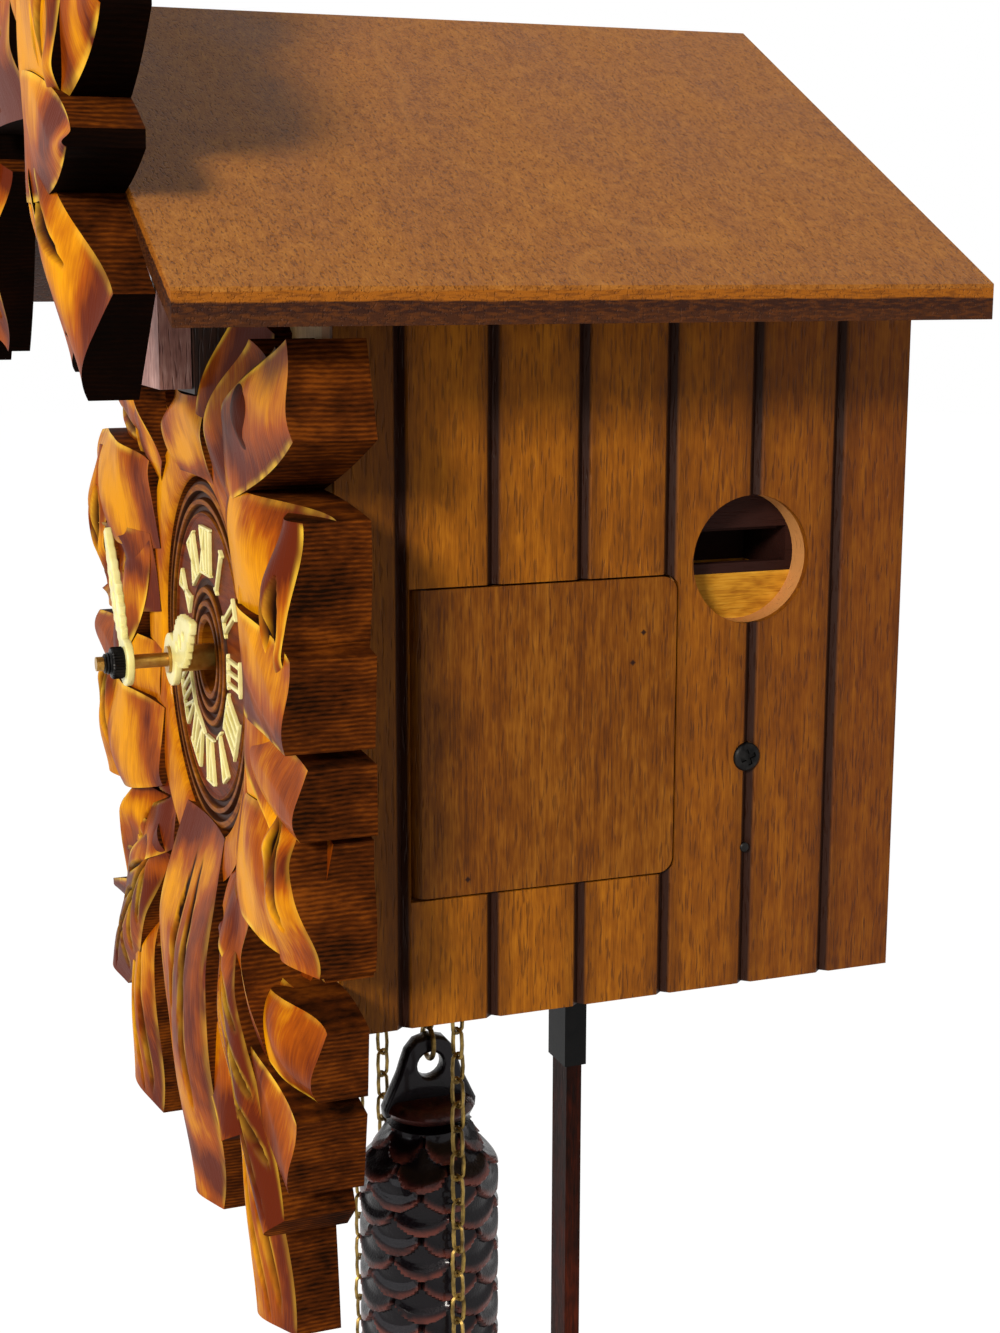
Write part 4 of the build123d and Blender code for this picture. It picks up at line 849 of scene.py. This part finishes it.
frameLeaves = {
    "thick": 18,
    # base, tip, widths at base, belly and tip, form, drop of the front, further fall to the tip
    "right": [
        ((30, 96), (62, 126), (14, 19, 12), "turn", 1.5, 3),
        ((36, 104), (92, 123.2), (14, 19, 17.5), "ledge", 2, 1),
        ((36, 92), (90, 90.5), (20, 24, 21), "plain", 1, 8),
        ((40, 74), (92.5, 69.6), (18, 20, 16.6), "ledge", 1, 0.5),
        ((40, 52), (92.7, 52.3), (14, 15, 12.7), "plain", 2.5, 0),
        ((36, 34), (90, 31.7), (18, 27, 25.5), "plain", 1.5, 6),
        ((26, 22), (64, 8), (18, 20, 14), "fold", 2, 6),
        ((36, 6), (85.5, 1.6), (12, 14, 12.8), "plain", 6, 4),
        ((34, -8), (83.5, -16.6), (14, 16, 15.5), "ledge", 3, 0.5),
        ((44, 8), (55.5, -63), (18, 23, 21), "strip", 2.5, 2.5),
    ],
    "left": [
        ((-30, 96), (-60, 127), (14, 20, 13), "fold", 1.5, 3),
        ((-36, 104), (-91, 122), (14, 19, 17), "fold", 2, 3),
        ((-36, 90), (-91, 93), (20, 25, 20), "plain", 0.5, 4),
        ((-40, 74), (-92, 71), (18, 20, 16), "cup", 2, 2.5),
        ((-40, 50), (-92, 51), (14, 16, 13), "plain", 2.5, 0),
        ((-36, 34), (-90, 30), (18, 26, 24), "plain", 0.5, 4),
        ((-26, 22), (-63, 9), (18, 20, 14), "turn", 2, 4),
        ((-36, 8), (-86, 3), (12, 15, 13), "veined", 3, 3),
        ((-34, -6), (-82, -18), (14, 16, 15), "cup", 3.5, 0),
        ((-46, 8), (-62, -60), (18, 24, 21), "strip", 1.5, 2.5),
    ],
    "bottom": [
        ((0, 26), (0, -61), (34, 40, 16), "triple", 0, 5),
        ((0, 14), (30, -34), (22, 22, 12), "fold", 1, 3),
        ((0, 14), (-30, -34), (22, 22, 12), "turn", 1, 3),
    ],
    "bridge": [
        ((0, 100), (0, 117.4), (34, 37, 30), "plain", 2, 3),
        ((14, 98), (38, 134), (16, 17, 12), "turn", 5, 4),
        ((-14, 98), (-38, 134), (16, 17, 12), "fold", 5, 4),
    ],
    "over": [  # leaves laid over the rest
        ((62, 108), (73, 127), (8, 16, 10), "dusk", 0, 5),
        ((83, 68), (83.2, 101), (5, 15, 15), "triple", 0, 4),
        ((44, 84), (78, 46), (8, 22, 6), "fold", 0, 2.5),
        ((81, 50), (81.6, 20), (5, 20, 18), "triple", 0, 4),
        ((30, 12), (74, -34), (9, 17, 8), "veined", 0, 1),
        ((48, 22), (62, -12), (10, 17, 8), "turn", 0.5, 3),
        ((56, 4), (85.9, 1.4), (8, 16, 13.4), "plain", 3, 4),
        ((48, 30), (60, 96), (10, 13, 9), "blade", 1.5, 1),
        ((-44, 84), (-84, 44), (8, 26, 8), "turn", 0, 1.5),
        ((-80, 66), (-82, 100), (6, 18, 16), "triple", 0, 3),
        ((-78, 52), (-78, 18), (6, 22, 18), "triple", 0, 3),
        ((-30, 14), (-74, -32), (9, 19, 8), "veined", 0, 1),
        ((-48, 22), (-62, -14), (10, 17, 8), "fold", 0.5, 3),
    ],
    "ring": [(38.4, 0), (38.4, 8), (38.9, 8.8), (40, 9.3), (42.6, 9.8), (45.4, 10.2), (48, 10.2), (48, 0)],
}

parts = []
for group in ("right", "left", "bottom", "bridge", "over"):
    for base, tip, widths, form, drop, fall in frameLeaves[group]:
        parts.append(leaf(base, tip, widths, caseFront, frameLeaves["thick"], form, drop, fall, True))
ringCentre = (dialCentre.x, caseFront, dialCentre.z)
ring = turned(ringCentre, (0, -1, 0), frameLeaves["ring"], 96, True)
for face in ring.data.polygons:
    face.material_index = 0 if face.normal.y < -0.25 else 1
parts.append(marked(ring, relief=1.0, edge=0.0, tone=0.7))
carving(parts, "carvedFrame", "case", "carved_frame", "carved", "sawn", "sawn")
print("carved frame")

crownLeaves = {
    "thick": 15,
    "right": [
        ((40, 168), (82.5, 130), (16, 18, 24), "triple", 0.5, 4),
        ((36, 166), (53, 128), (18, 24, 18), "turn", 1, 3),
        ((34, 166), (86.5, 163.3), (18, 20, 3), "ledge", 1, 1),
        ((28, 184), (94, 187), (22, 38, 8), "plain", 0.5, 5),
        ((18, 190), (62, 216), (22, 28, 16), "triple", 1, 2),
        ((8, 200), (34, 236), (16, 22, 12), "blade", 0, 2),
        ((66, 167), (74, 201), (5, 20, 14), "triple", 0, 2),
    ],
    "middle": ((0, 170), (0, 212), (58, 50, 30), "veined", 1, 2),
    "birdHead": 240.0,  # height of the middle of its head
    "bird": [
        # place from the middle of the head, and half sizes, in mm
        ((0, 0, -25.5), (13, 7.5, 25.5)),  # breast
        ((0, 0, 0), (8.5, 7.5, 8.5)),  # head
        ((9, 0, 5), (4, 2.6, 2.4)),  # beak
        ((-9, -2, -22), (4, 4.6, 17)),  # wings
        ((9, -2, -24), (4, 4.6, 15)),
    ],
    "feathers": 0.5,  # depth of its cuts
}

thick = crownLeaves["thick"]
leaves = [crownLeaves["middle"]]
for base, tip, *rest in crownLeaves["right"]:
    form = rest[1]
    otherForm = {"fold": "turn", "turn": "fold"}.get(form, form)
    leaves.append((base, tip, *rest))
    leaves.append(((-base[0], base[1]), (-tip[0], tip[1]), rest[0], otherForm, *rest[2:]))
parts = []
for base, tip, widths, form, drop, fall in leaves:
    parts.append(leaf(base, tip, widths, roofFront, thick, form, drop, fall))
head = Vector((0, roofFront - thick / 2 * mm, caseBottom + crownLeaves["birdHead"] * mm))
for offset, halfSizes in crownLeaves["bird"]:
    centre = head + Vector(offset) * mm
    ball = added(bpy.ops.mesh.primitive_uv_sphere_add, segments=40, ring_count=24, radius=mm, location=centre)
    place(ball, scale=halfSizes)
    for vertex in ball.data.vertices:
        away = vertex.co - centre
        cut = 1 + math.sin(vertex.co.z * 1900 + away.x * 300)
        vertex.co.y += crownLeaves["feathers"] * mm * ease(-away.y, 2 * mm, 6 * mm) * cut
    parts.append(marked(ball, relief=1.0, edge=0.0, tone=0.5))
# painted shade: the crown's walls that don't look up take the shaded copy of the sawn finish, those that look
# up the lit one
carving(parts, "crownCarving", "case", "crown", "carved", "sawnShaded", "sawn")
print("crown")

# dial and numerals

dial = {
    "profile": [(7.5, 0), (7.5, 7.4), (8, 8), (9, 8), (9.5, 7.1), (10.3, 7.1), (10.8, 8), (11.8, 8),
                (12.4, 7.1), (13.2, 7.1), (13.7, 8), (14.7, 8), (15.3, 7), (16.3, 7), (16.8, 7.4),
                (29.8, 7.3), (30.5, 7.8), (31, 7), (31.9, 7), (32.4, 8), (33.4, 8), (33.8, 6.9),
                (34.8, 6.9), (35.2, 8), (36.8, 7.8), (37.7, 7), (38, 5.8), (38, 0)],
    "words": ["XII", "I", "II", "III", "IIII", "V", "VI", "VII", "VIII", "IX", "X", "XI"],
    "letterWide": {"I": 2.5, "V": 4.8, "X": 4.8},
    "strokes": {"I": [(0, 0)], "V": [(-0.95, -12), (0.95, 12)], "X": [(0, 20), (0, -20)]},  # shift, lean
    "tall": 10.5,
    "radius": 22.6,
    "stroke": 0.8,
    "strokeBevel": 0.18,
    "flare": 0.25,
    "foot": 0.6,
    "footBevel": 0.15,
    "footIn": 0.4,  # how far the middle of a foot lies inside the letter's end
    "thick": 0.9,
    "sunk": 0.3,  # how far the middle of a numeral lies behind the front of the disc
}
dialPiece = turned(ringCentre, (0, -1, 0), dial["profile"], 128, True)
finished(dialPiece, "dialDisc", "case", "turned", ["dial_disc"])

strokeBar = bar(dial["stroke"], dial["thick"], dial["tall"] - 0.5, dial["strokeBevel"], dial["flare"])
footBar = bar(1.0, dial["thick"], dial["foot"], dial["footBevel"])
bars = []
numeralY = dialLow.y + dial["sunk"] * mm
for hour, word in enumerate(dial["words"]):
    spot = Matrix.Translation((0, numeralY, dialCentre.z)) @ spin(30 * hour, "Y")
    spot = spot @ Matrix.Translation((0, 0, dial["radius"] * mm))
    whole = sum(dial["letterWide"][letter] for letter in word)
    start = -whole / 2
    for letter in word:
        middle = start + dial["letterWide"][letter] / 2
        start += dial["letterWide"][letter]
        for shift, lean in dial["strokes"][letter]:
            step = Matrix.Translation(((middle + shift) * mm, 0, 0))
            bars.append(copyOf(strokeBar, spot @ step @ spin(lean, "Y")))
    for end in (-1, 1):
        foot = Matrix.Translation((0, 0, end * (dial["tall"] / 2 - dial["footIn"]) * mm))
        bars.append(copyOf(footBar, spot @ foot @ Matrix.Diagonal((whole, 1, 1, 1))))
bpy.data.objects.remove(strokeBar)
bpy.data.objects.remove(footBar)
finished(joined(bars), "numeralSet", "case", "cream", ["numerals"])
print("dial")

# hands

hands = {
    # half outline: distance from the centre and half width in mm; holes: distance, half length, half width
    # turn is in degrees from twelve
    "hour": {
        "outline": [(5, 2.4), (6, 2.6), (6.8, 4.2), (7.8, 3.4), (8.8, 4.8), (9.6, 4), (10.6, 5.4),
                    (11.8, 4.4), (12.6, 5.4), (14, 4.2), (15, 4.9), (16.2, 3.4), (17, 3.9), (18.2, 2.4),
                    (19, 2.8), (20.2, 1.4), (21.2, 1.7), (23, 0.3)],
        "holes": [(8.4, 1, 1.1), (11.7, 1.3, 1.6), (15.2, 1.2, 1)],
        "hub": 5.6, "bore": 2.85, "turn": 62, "node": "hour_hand", "body": "hour",
    },
    "minute": {
        "outline": [(4.2, 2.2), (5.4, 1.8), (6.6, 2.6), (7.6, 2.1), (8.8, 3.1), (9.8, 2.5), (11.2, 3.6),
                    (12.6, 2.9), (13.8, 3.7), (15.2, 3), (16.4, 3.6), (17.8, 2.7), (19.2, 3.2), (20.6, 2.3),
                    (22, 2.8), (23.4, 1.9), (24.8, 2.2), (26.4, 1.4), (27.8, 1.5), (31, 0.8)],
        "holes": [(9.8, 1.7, 0.7), (14.3, 2, 1.1), (19.2, 1.7, 0.8)],
        "hub": 5, "bore": 1.55, "turn": -33, "node": "minute_hand", "body": "minute",
    },
}

for name, hand in hands.items():
    edgeStart = math.asin(hand["outline"][0][1] / hand["hub"])
    angles = [edgeStart + (2 * math.pi - 2 * edgeStart) * step / 30 for step in range(31)]
    hub = [(hand["hub"] * math.sin(angle), hand["hub"] * math.cos(angle)) for angle in angles]
    right = [(half, reach) for reach, half in reversed(hand["outline"][1:])]
    left = [(-half, reach) for half, reach in reversed(right)]
    outlines = [right + hub + left, ovalPoints(0, 0, hand["bore"], hand["bore"], 24)]
    outlines += [ovalPoints(0, reach, wide, long, 14) for reach, long, wide in hand["holes"]]
    low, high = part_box(hand["node"])
    piece = cutOut(name + "Hand", outlines, (high.y - low.y) / mm, 0.3)
    spot = Matrix.Translation((0, (low.y + high.y) / 2, dialCentre.z))
    piece.matrix_world = spot @ spin(hand["turn"], "Y") @ spin(90, "X")
    finished(piece, name + "Hand", hand["body"], "cream", [hand["node"]], 50)

nut = {
    "profile": [(1.6, 0), (3.1, 0), (3.4, 0.3), (3.4, 2.3), (3.1, 2.6), (2.5, 2.7), (2.2, 3.0), (2.35, 3.3),
                (2.0, 3.6), (2.1, 3.9), (1.6, 4.2)],
    "knurls": 30,
    "knurlFrom": 3.25,  # radius in mm
    "knurlDepth": 0.28,
}
nutBack = (0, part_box("hand_nut")[1].y, dialCentre.z)
nutPiece = turned(nutBack, (0, -1, 0), nut["profile"], nut["knurls"] * 2, True)
for vertex in nutPiece.data.vertices:
    x, z = vertex.co.x, vertex.co.z - dialCentre.z
    radius = math.hypot(x, z)
    if radius > nut["knurlFrom"] * mm:
        tooth = round(math.atan2(z, x) / math.pi * nut["knurls"]) % 2
        shrink = (radius - nut["knurlDepth"] * mm * tooth) / radius
        vertex.co.x, vertex.co.z = x * shrink, dialCentre.z + z * shrink
finished(nutPiece, "knurledNut", "minute", "black", ["hand_nut"], 25)
print("hands")

# latch wire

latch = {
    "radius": 0.6,
    "path": [(0, 3, 0), (0, 0, 0), (0, 0, -3), (0, 0, -8), (0, 0, -11), (-1.6, 0, -11.4), (-3.4, 0, -11.2),
             (-3.6, 0, -8.6)],  # mm from the bend, after the end in the surround
}
latchLow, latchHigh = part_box("door_latch_wire")
latchX = (latchLow.x + latchHigh.x) / 2
latchZ = latchHigh.z - latch["radius"] * mm
latchBend = (latchX, latchLow.y + latch["radius"] * mm, latchZ)
latchPath = [(latchX, latchHigh.y, latchZ)]
latchPath += [[at + step * mm for at, step in zip(latchBend, steps)] for steps in latch["path"]]
hook = drawn("latchWire", "NURBS", [latchPath], {"order_u": 3, "use_endpoint_u": True}, dimensions="3D",
             bevel_depth=latch["radius"] * mm, bevel_resolution=3, use_fill_caps=True, resolution_u=6)
finished(hook, "latchWire", "latch", "steel", ["door_latch_wire"])

# screws

screws = {
    "profile": [(0, 1.0), (0.5, 0.97), (0.8, 0.75), (0.97, 0.35), (1.0, 0.0), (1.0, -0.5), (0, -0.5)],
    "recess": (1.15, 0.32),  # length and width of the cross, as shares of the radius
    "whistleY": -34.1,
    "whistle": [(47.4, 2.9, 0.9), (28.7, 1.0, 0.4)],  # height above the bottom, radius and rise
    "hanger": ((13, -1.3, 0), 1.8, 0.8),  # place on the right, radius and rise
}


def screwHead(centre, axis, radius, rise):
    points = [(share * radius, lift * rise) for share, lift in screws["profile"]]
    piece = turned(centre, axis, points, 32, True)
    if radius < 1.5:  # a nail
        return piece
    along = Vector(axis)
    facing = along.to_track_quat("Z", "Y").to_matrix().to_4x4()
    spot = Matrix.Translation(Vector(centre) + along * rise * 0.9 * mm) @ facing
    long, wide = screws["recess"]
    for lean in (20, 110):
        cutter = bar(radius * long, wide * radius, rise * 1.3, 0.05)
        place(cutter, matrix_world=spot @ spin(lean, "Z"))
        modify(piece, "BOOLEAN", operation="DIFFERENCE", object=cutter, solver="EXACT")
        bpy.data.objects.remove(cutter)
    return piece


heads = []
hanger, hangerRadius, hangerRise = screws["hanger"]
for side in (-1, 1):
    for height, radius, rise in screws["whistle"]:
        spot = (side * caseOuter, screws["whistleY"] * mm, caseBottom + height * mm)
        heads.append(screwHead(spot, (side, 0, 0), radius, rise))
    spot = (side * hanger[0] * mm, hanger[1] * mm, hanger[2] * mm)
    heads.append(screwHead(spot, (0, 1, 0), hangerRadius, hangerRise))
finished(joined(heads), "screwHeads", "case", "black", ["wood_screws"], 40)
print("small metal")

# weights

cone = {
    "rows": 20,  # rows of scales
    "round": 7,  # scales in a row
    "steps": (126, 250),  # faces round and along
    "depth": 2.0,  # of the scales
    "neck": 10.0,  # radius at the top
    "widest": 15.55,
    "end": 0.03,  # share of the height that closes the body above and below
    "ear": [(10.5, -18), (10.7, -16), (7.2, -8.5), (6.4, -6), (5.4, -3.2), (3.4, -0.9), (0, 0)],  # right half
    "earTall": 17.0,
    "earThick": 4.0,
    "earBevel": 0.7,
    "hole": (7.0, 3.0),  # depth below the top and radius
    "collar": [(0, 2.6), (8.2, 2.6), (9.6, 1.6), (10.2, 0.4), (9.6, -0.9), (8.2, -1.6), (0, -1.6)],
}


def coneRadius(share):  # share is 0 at the top of the body and 1 at its tip
    radius = cone["neck"] + 5.8 * ease(share, 0.0, 0.11)
    radius -= 2.2 * ease(share, 0.62, 0.92) + 5.0 * ease(share, 0.86, 1.0)
    return radius


def scaleRelief(share, turn):
    # the highest of the overlapping scales at this spot, and how near its lower rim is
    best, rim = 0.0, 0.0
    row = share * cone["rows"]
    for above in range(3):
        index = math.floor(row) - above
        if index < -1:
            continue
        shift = 0.5 * (index % 2)
        across = (turn * cone["round"] + shift) % 1.0 * 2 - 1
        down = (row - index) / 2.1
        end = 0.5 + 0.5 * math.sqrt(max(0.0, 1 - across * across))
        if 0 <= down < end:
            reach = down / end
            lift = 0.18 + 0.30 * reach + 0.52 * ease(reach, 0.62, 0.86) - 0.10 * across * across
            if lift > best:
                best = lift
                rim = ease(reach, 0.78, 0.94)
    return best, rim


def pineCone(name, node, body):
    low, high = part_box(node)
    centre = (low + high) / 2
    topZ = high.z - cone["earTall"] * mm
    tall = topZ - low.z
    across, rows = cone["steps"]
    end = cone["end"]
    piece = added(bpy.ops.mesh.primitive_grid_add, x_subdivisions=across, y_subdivisions=rows, size=2)
    rims = []
    for vertex in piece.data.vertices:
        turn = (vertex.co.x + 1) / 2
        share = (1 - vertex.co.y) / 2
        bodyShare = min(1.0, max(0.0, (share - end) / (1 - 2 * end)))
        lift, rim = scaleRelief(bodyShare, turn)
        radius = min(coneRadius(bodyShare) - cone["depth"] * (1 - lift), cone["widest"])
        if share < end:
            radius, rim = cone["neck"] * share / end, 0.0
        if share > 1 - end:
            radius *= max(0.0, (1 - share) / end) ** 0.6
        angle = 2 * math.pi * turn
        vertex.co = (centre.x + radius * mm * math.cos(angle), centre.y + radius * mm * math.sin(angle),
                     topZ - tall * share)
        rims.append(rim)
    mark(piece, "rim", rims)
    closed(piece, 2e-5)
    outline = cone["ear"] + [(-x, y) for x, y in reversed(cone["ear"][:-1])]
    holeDrop, holeRadius = cone["hole"]
    hole = ovalPoints(0, -holeDrop, holeRadius, holeRadius, 20)
    ear = cutOut(name + "Ear", [outline, hole], cone["earThick"], cone["earBevel"])
    place(ear, matrix_world=Matrix.Translation((centre.x, centre.y, high.z)) @ spin(90, "Z") @ spin(90, "X"))
    collar = turned((centre.x, centre.y, topZ), (0, 0, 1), cone["collar"], 48)
    pieces = [piece, marked(ear, rim=0.0), marked(collar, rim=0.4)]
    finished(joined(pieces), name, body, "iron", [node], 50)


pineCone("timeWeight", "time_weight", "time_load")
pineCone("strikeWeight", "strike_weight", "strike_load")
print("weights")

# chains

chain = {
    "across": 1.62,  # half width of a link on the centre line of its wire
    "reach": 1.62,  # how far each end is drawn out
    "wire": 0.46,
    "twist": 20,  # degrees
    "hookWire": 0.6,
    "hookLap": 0.8,  # how far the lowest link reaches into the ring
    "ring": 5.2,
    "ringWire": 0.8,
    "ringLap": 1.4,
    "bend": 6,  # links on a wheel
}
upright = (math.radians(90), 0, 0)
link = place(added(bpy.ops.mesh.primitive_torus_add, major_segments=12, minor_segments=5, rotation=upright,
                   major_radius=chain["across"] * mm, minor_radius=chain["wire"] * mm))
for vertex in link.data.vertices:
    vertex.co.z += math.copysign(chain["reach"] * mm, vertex.co.z) if abs(vertex.co.z) > 1e-5 else 0.0
pitch = 2 * (chain["across"] + chain["reach"] - chain["wire"]) * mm


def ringAt(centre, radius, wireRadius):
    return place(added(bpy.ops.mesh.primitive_torus_add, major_segments=32, minor_segments=8, location=centre,
                       rotation=upright, major_radius=radius * mm, minor_radius=wireRadius * mm))


def chainRun(x, y, top, bottom):
    count = int((top - bottom) / pitch)
    links = []
    for step in range(count):
        spot = Vector((x, y, bottom + pitch * (step + 0.5)))
        twist = chain["twist"] + 90 * (step % 2) + random.uniform(-9, 9)
        links.append(copyOf(link, Matrix.Translation(spot) @ spin(twist, "Z")))
    return links


for train, hanging in (("time", "time_load"), ("strike", "strike_load")):
    wheel = sum(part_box(train + "_sprocket"), Vector()) / 2
    loadLow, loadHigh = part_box(train + "_weight_chain")
    pullLow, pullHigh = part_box(train + "_pull_chain")
    hookRadius = (loadHigh.x - loadLow.x) / 2
    loadX = (loadLow.x + loadHigh.x) / 2
    pullX = (pullLow.x + pullHigh.x) / 2
    hookWire = chain["hookWire"]
    hookRing = ringAt((loadX, wheel.y, loadLow.z + hookRadius), hookRadius / mm - hookWire, hookWire)
    load = [hookRing] + chainRun(loadX, wheel.y, wheel.z, loadLow.z + 2 * hookRadius - chain["hookLap"] * mm)
    ringOuter = (chain["ring"] + chain["ringWire"]) * mm
    pullRing = ringAt((pullX, wheel.y, pullLow.z + ringOuter), chain["ring"], chain["ringWire"])
    free = [pullRing] + chainRun(pullX, wheel.y, wheel.z, pullLow.z + 2 * ringOuter - chain["ringLap"] * mm)
    bend = []
    wheelRadius = abs(pullX - loadX) / 2
    for step in range(chain["bend"]):
        turn = 180 / chain["bend"] * (step + 0.5)
        angle = math.radians(turn)
        spot = wheel + wheelRadius * Vector((math.cos(angle), 0, math.sin(angle)))
        bend.append(copyOf(link, Matrix.Translation(spot) @ spin(-turn, "Y") @ spin(90 * (step % 2), "Z")))
    for links, part, body, instead in (
        (load, "WeightChain", hanging, [train + "_weight_chain"]),
        (free, "PullChain", train + "_pull", [train + "_pull_chain"]),
        (bend, "ChainBend", train + "_wheel", ()),
    ):
        finished(joined(links), train + part, body, "antique", instead, 50)
bpy.data.objects.remove(link)
print("chains")

# pendulum bob

bob = {
    "radius": 21.0,
    "thick": 8.0,
    "leaves": [(-90, 1.0), (-38, 0.95), (218, 0.95), (20, 0.9), (160, 0.9)],  # degrees, share of radius
    "leafWidths": (10, 15, 4),
    "height": -146.0,
    "leafUp": 4,  # above that height
    "bossUp": 5,
    "sleeveUp": 3,
    "boss": [(0, 0), (9, 0), (9, 4.4), (8, 6.2), (5, 7.4), (0, 8.0)],
    "sleeve": (13, 10),  # width and height
    "sleeveWall": 0.9,
}
bobLow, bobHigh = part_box("pendulum_bob")
bobBack = bobLow.y + bob["thick"] * mm
bobZ = bob["height"]
leafBase = (0, bobZ + bob["leafUp"])
parts = []
for turn, reach in bob["leaves"]:
    angle = math.radians(turn)
    tip = (bob["radius"] * reach * math.cos(angle), bobZ + bob["radius"] * reach * math.sin(angle))
    parts.append(leaf(leafBase, tip, bob["leafWidths"], bobBack, bob["thick"], "veined", 1.0, 2.0))
boss = turned((0, bobBack, caseBottom + (bobZ + bob["bossUp"]) * mm), (0, -1, 0), bob["boss"], 40)
sleeve = added(bpy.ops.mesh.primitive_cube_add, size=1,
               location=(0, (bobBack + bobHigh.y) / 2, caseBottom + (bobZ + bob["sleeveUp"]) * mm))
sleeveWide, sleeveTall = bob["sleeve"]
place(sleeve, scale=(sleeveWide * mm, bobHigh.y - bobBack, sleeveTall * mm))
edit(sleeve, select("DESELECT"))
for face in sleeve.data.polygons:
    face.select = abs(face.normal.z) > 0.5
    face.material_index = 1
edit(sleeve, (bpy.ops.mesh.inset, {"thickness": bob["sleeveWall"] * mm}),
     (bpy.ops.mesh.bridge_edge_loops, {}), fresh=False)
parts += [marked(piece, relief=1.0, edge=0.0, tone=0.6) for piece in (boss, sleeve)]
carving(parts, "pendulumBob", "bob", "pendulum_bob", "carved", "sawn", "sawn")
print("pendulum bob")

# bellows cloth

bellows = {
    "folds": 4,
    "squeeze": 0.84,  # depth of a fold, as a share of the cloth's depth
    "sideways": 0.9,  # share of it that the width takes
    "cloth": 0.3,
}
for hand in ("right", "left"):
    low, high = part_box("bellows_cloth_" + hand)
    centre = (low + high) / 2
    cloth = added(bpy.ops.mesh.primitive_plane_add, size=1, location=(centre.x, centre.y, low.z))
    place(cloth, scale=(high.x - low.x, high.y - low.y, 1))
    edit(cloth, (bpy.ops.mesh.subdivide, {"number_cuts": 7}), (bpy.ops.mesh.delete, {"type": "ONLY_FACE"}),
         select("DESELECT"))
    reachX, reachY = (high.x - low.x) / 2 - 1e-5, (high.y - low.y) / 2 - 1e-5
    for vertex in cloth.data.vertices:
        vertex.select = abs(vertex.co.x - centre.x) < reachX and abs(vertex.co.y - centre.y) < reachY
    rise = (high.z - low.z) / (2 * bellows["folds"])
    moves = [(bpy.ops.mesh.delete, {"type": "VERT"}), select("SELECT")]
    for step in range(2 * bellows["folds"]):
        squeeze = bellows["squeeze"] if step % 2 == 0 else 1 / bellows["squeeze"]
        size = (1 - (1 - squeeze) * bellows["sideways"], squeeze, 1)
        resize = {"value": size, "center_override": tuple(centre)}
        moves += [pull((0, 0, rise)), (bpy.ops.transform.resize, resize)]
    edit(cloth, *moves, fresh=False)
    modify(cloth, "SOLIDIFY", thickness=bellows["cloth"] * mm, offset=-1.0)
    closed(cloth)
    piece = finished(cloth, "bellowsCloth_" + hand, None, "cloth", ["bellows_cloth_" + hand], 30)
    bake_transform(piece)
print("bellows")

# the cuckoo

cuckoo = {
    "body": [(0, 0), (1, 1.2), (1.9, 4.5), (3.6, 7.2), (5, 9.5), (5.3, 11.5), (5.8, 14.5), (6.2, 17.5),
             (5.4, 21), (3.6, 24), (2.2, 26.5), (1.6, 29.6), (0, 30)],
    "wing": (1.3, 9.0, 3.4),
    "wingPlace": (5.2, 17, 0.6),
    "wingTilt": -8,  # degrees
    "wingSplay": -6,
    "peg": [(0, 0), (1.2, 0), (1.2, 9), (0, 9)],
    "beak": paint(206, 150, 40),
}


def birdPaint():
    finish = Finish("birdPaint")
    back = (finish.axis("Y") - birdLow.y) * 1000
    up = (finish.axis("Z") - birdLow.z) * 1000
    cloud = finish.noise((3, 3, 3), 2, 0.5)
    bars = abs((back / 1.6 + cloud) % 1.0 - 0.5) * 2
    grey = finish.mix(cloud, paint(74, 84, 98), paint(112, 122, 134))
    pale = finish.mix(bars.rise(0.5, 0.8), paint(214, 210, 196), paint(92, 92, 92))
    colour = finish.mix(up.rise(8.0, 11.0), pale, grey)
    colour = finish.mix(1 - back.rise(3.6, 4.6), colour, cuckoo["beak"])
    return finish.done(colour, 0.45 + 0.1 * cloud, cloud, 0.05, coat=0.3)


birdLow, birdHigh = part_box("cuckoo_bird")
finishes["bird"] = birdPaint()
birdMiddleZ = birdHigh.z - (birdHigh.x - birdLow.x) / 2
body = turned((0, birdLow.y, birdMiddleZ), (0, 1, 0), cuckoo["body"], 40)
out, back, up = cuckoo["wingPlace"]
wings = []
for side in (-1, 1):
    wing = added(bpy.ops.mesh.primitive_uv_sphere_add, segments=24, ring_count=14, radius=mm,
                 location=(side * out * mm, birdLow.y + back * mm, birdMiddleZ + up * mm))
    turn = (math.radians(cuckoo["wingTilt"]), 0, math.radians(side * cuckoo["wingSplay"]))
    wings.append(place(wing, scale=cuckoo["wing"], rotation_euler=turn))
peg = turned((0, birdLow.y + back * mm, birdLow.z), (0, 0, 1), cuckoo["peg"], 20)
finished(joined([body, peg] + wings), "cuckooBird", "bird", "bird", ["cuckoo_bird"], 40)
print("cuckoo")
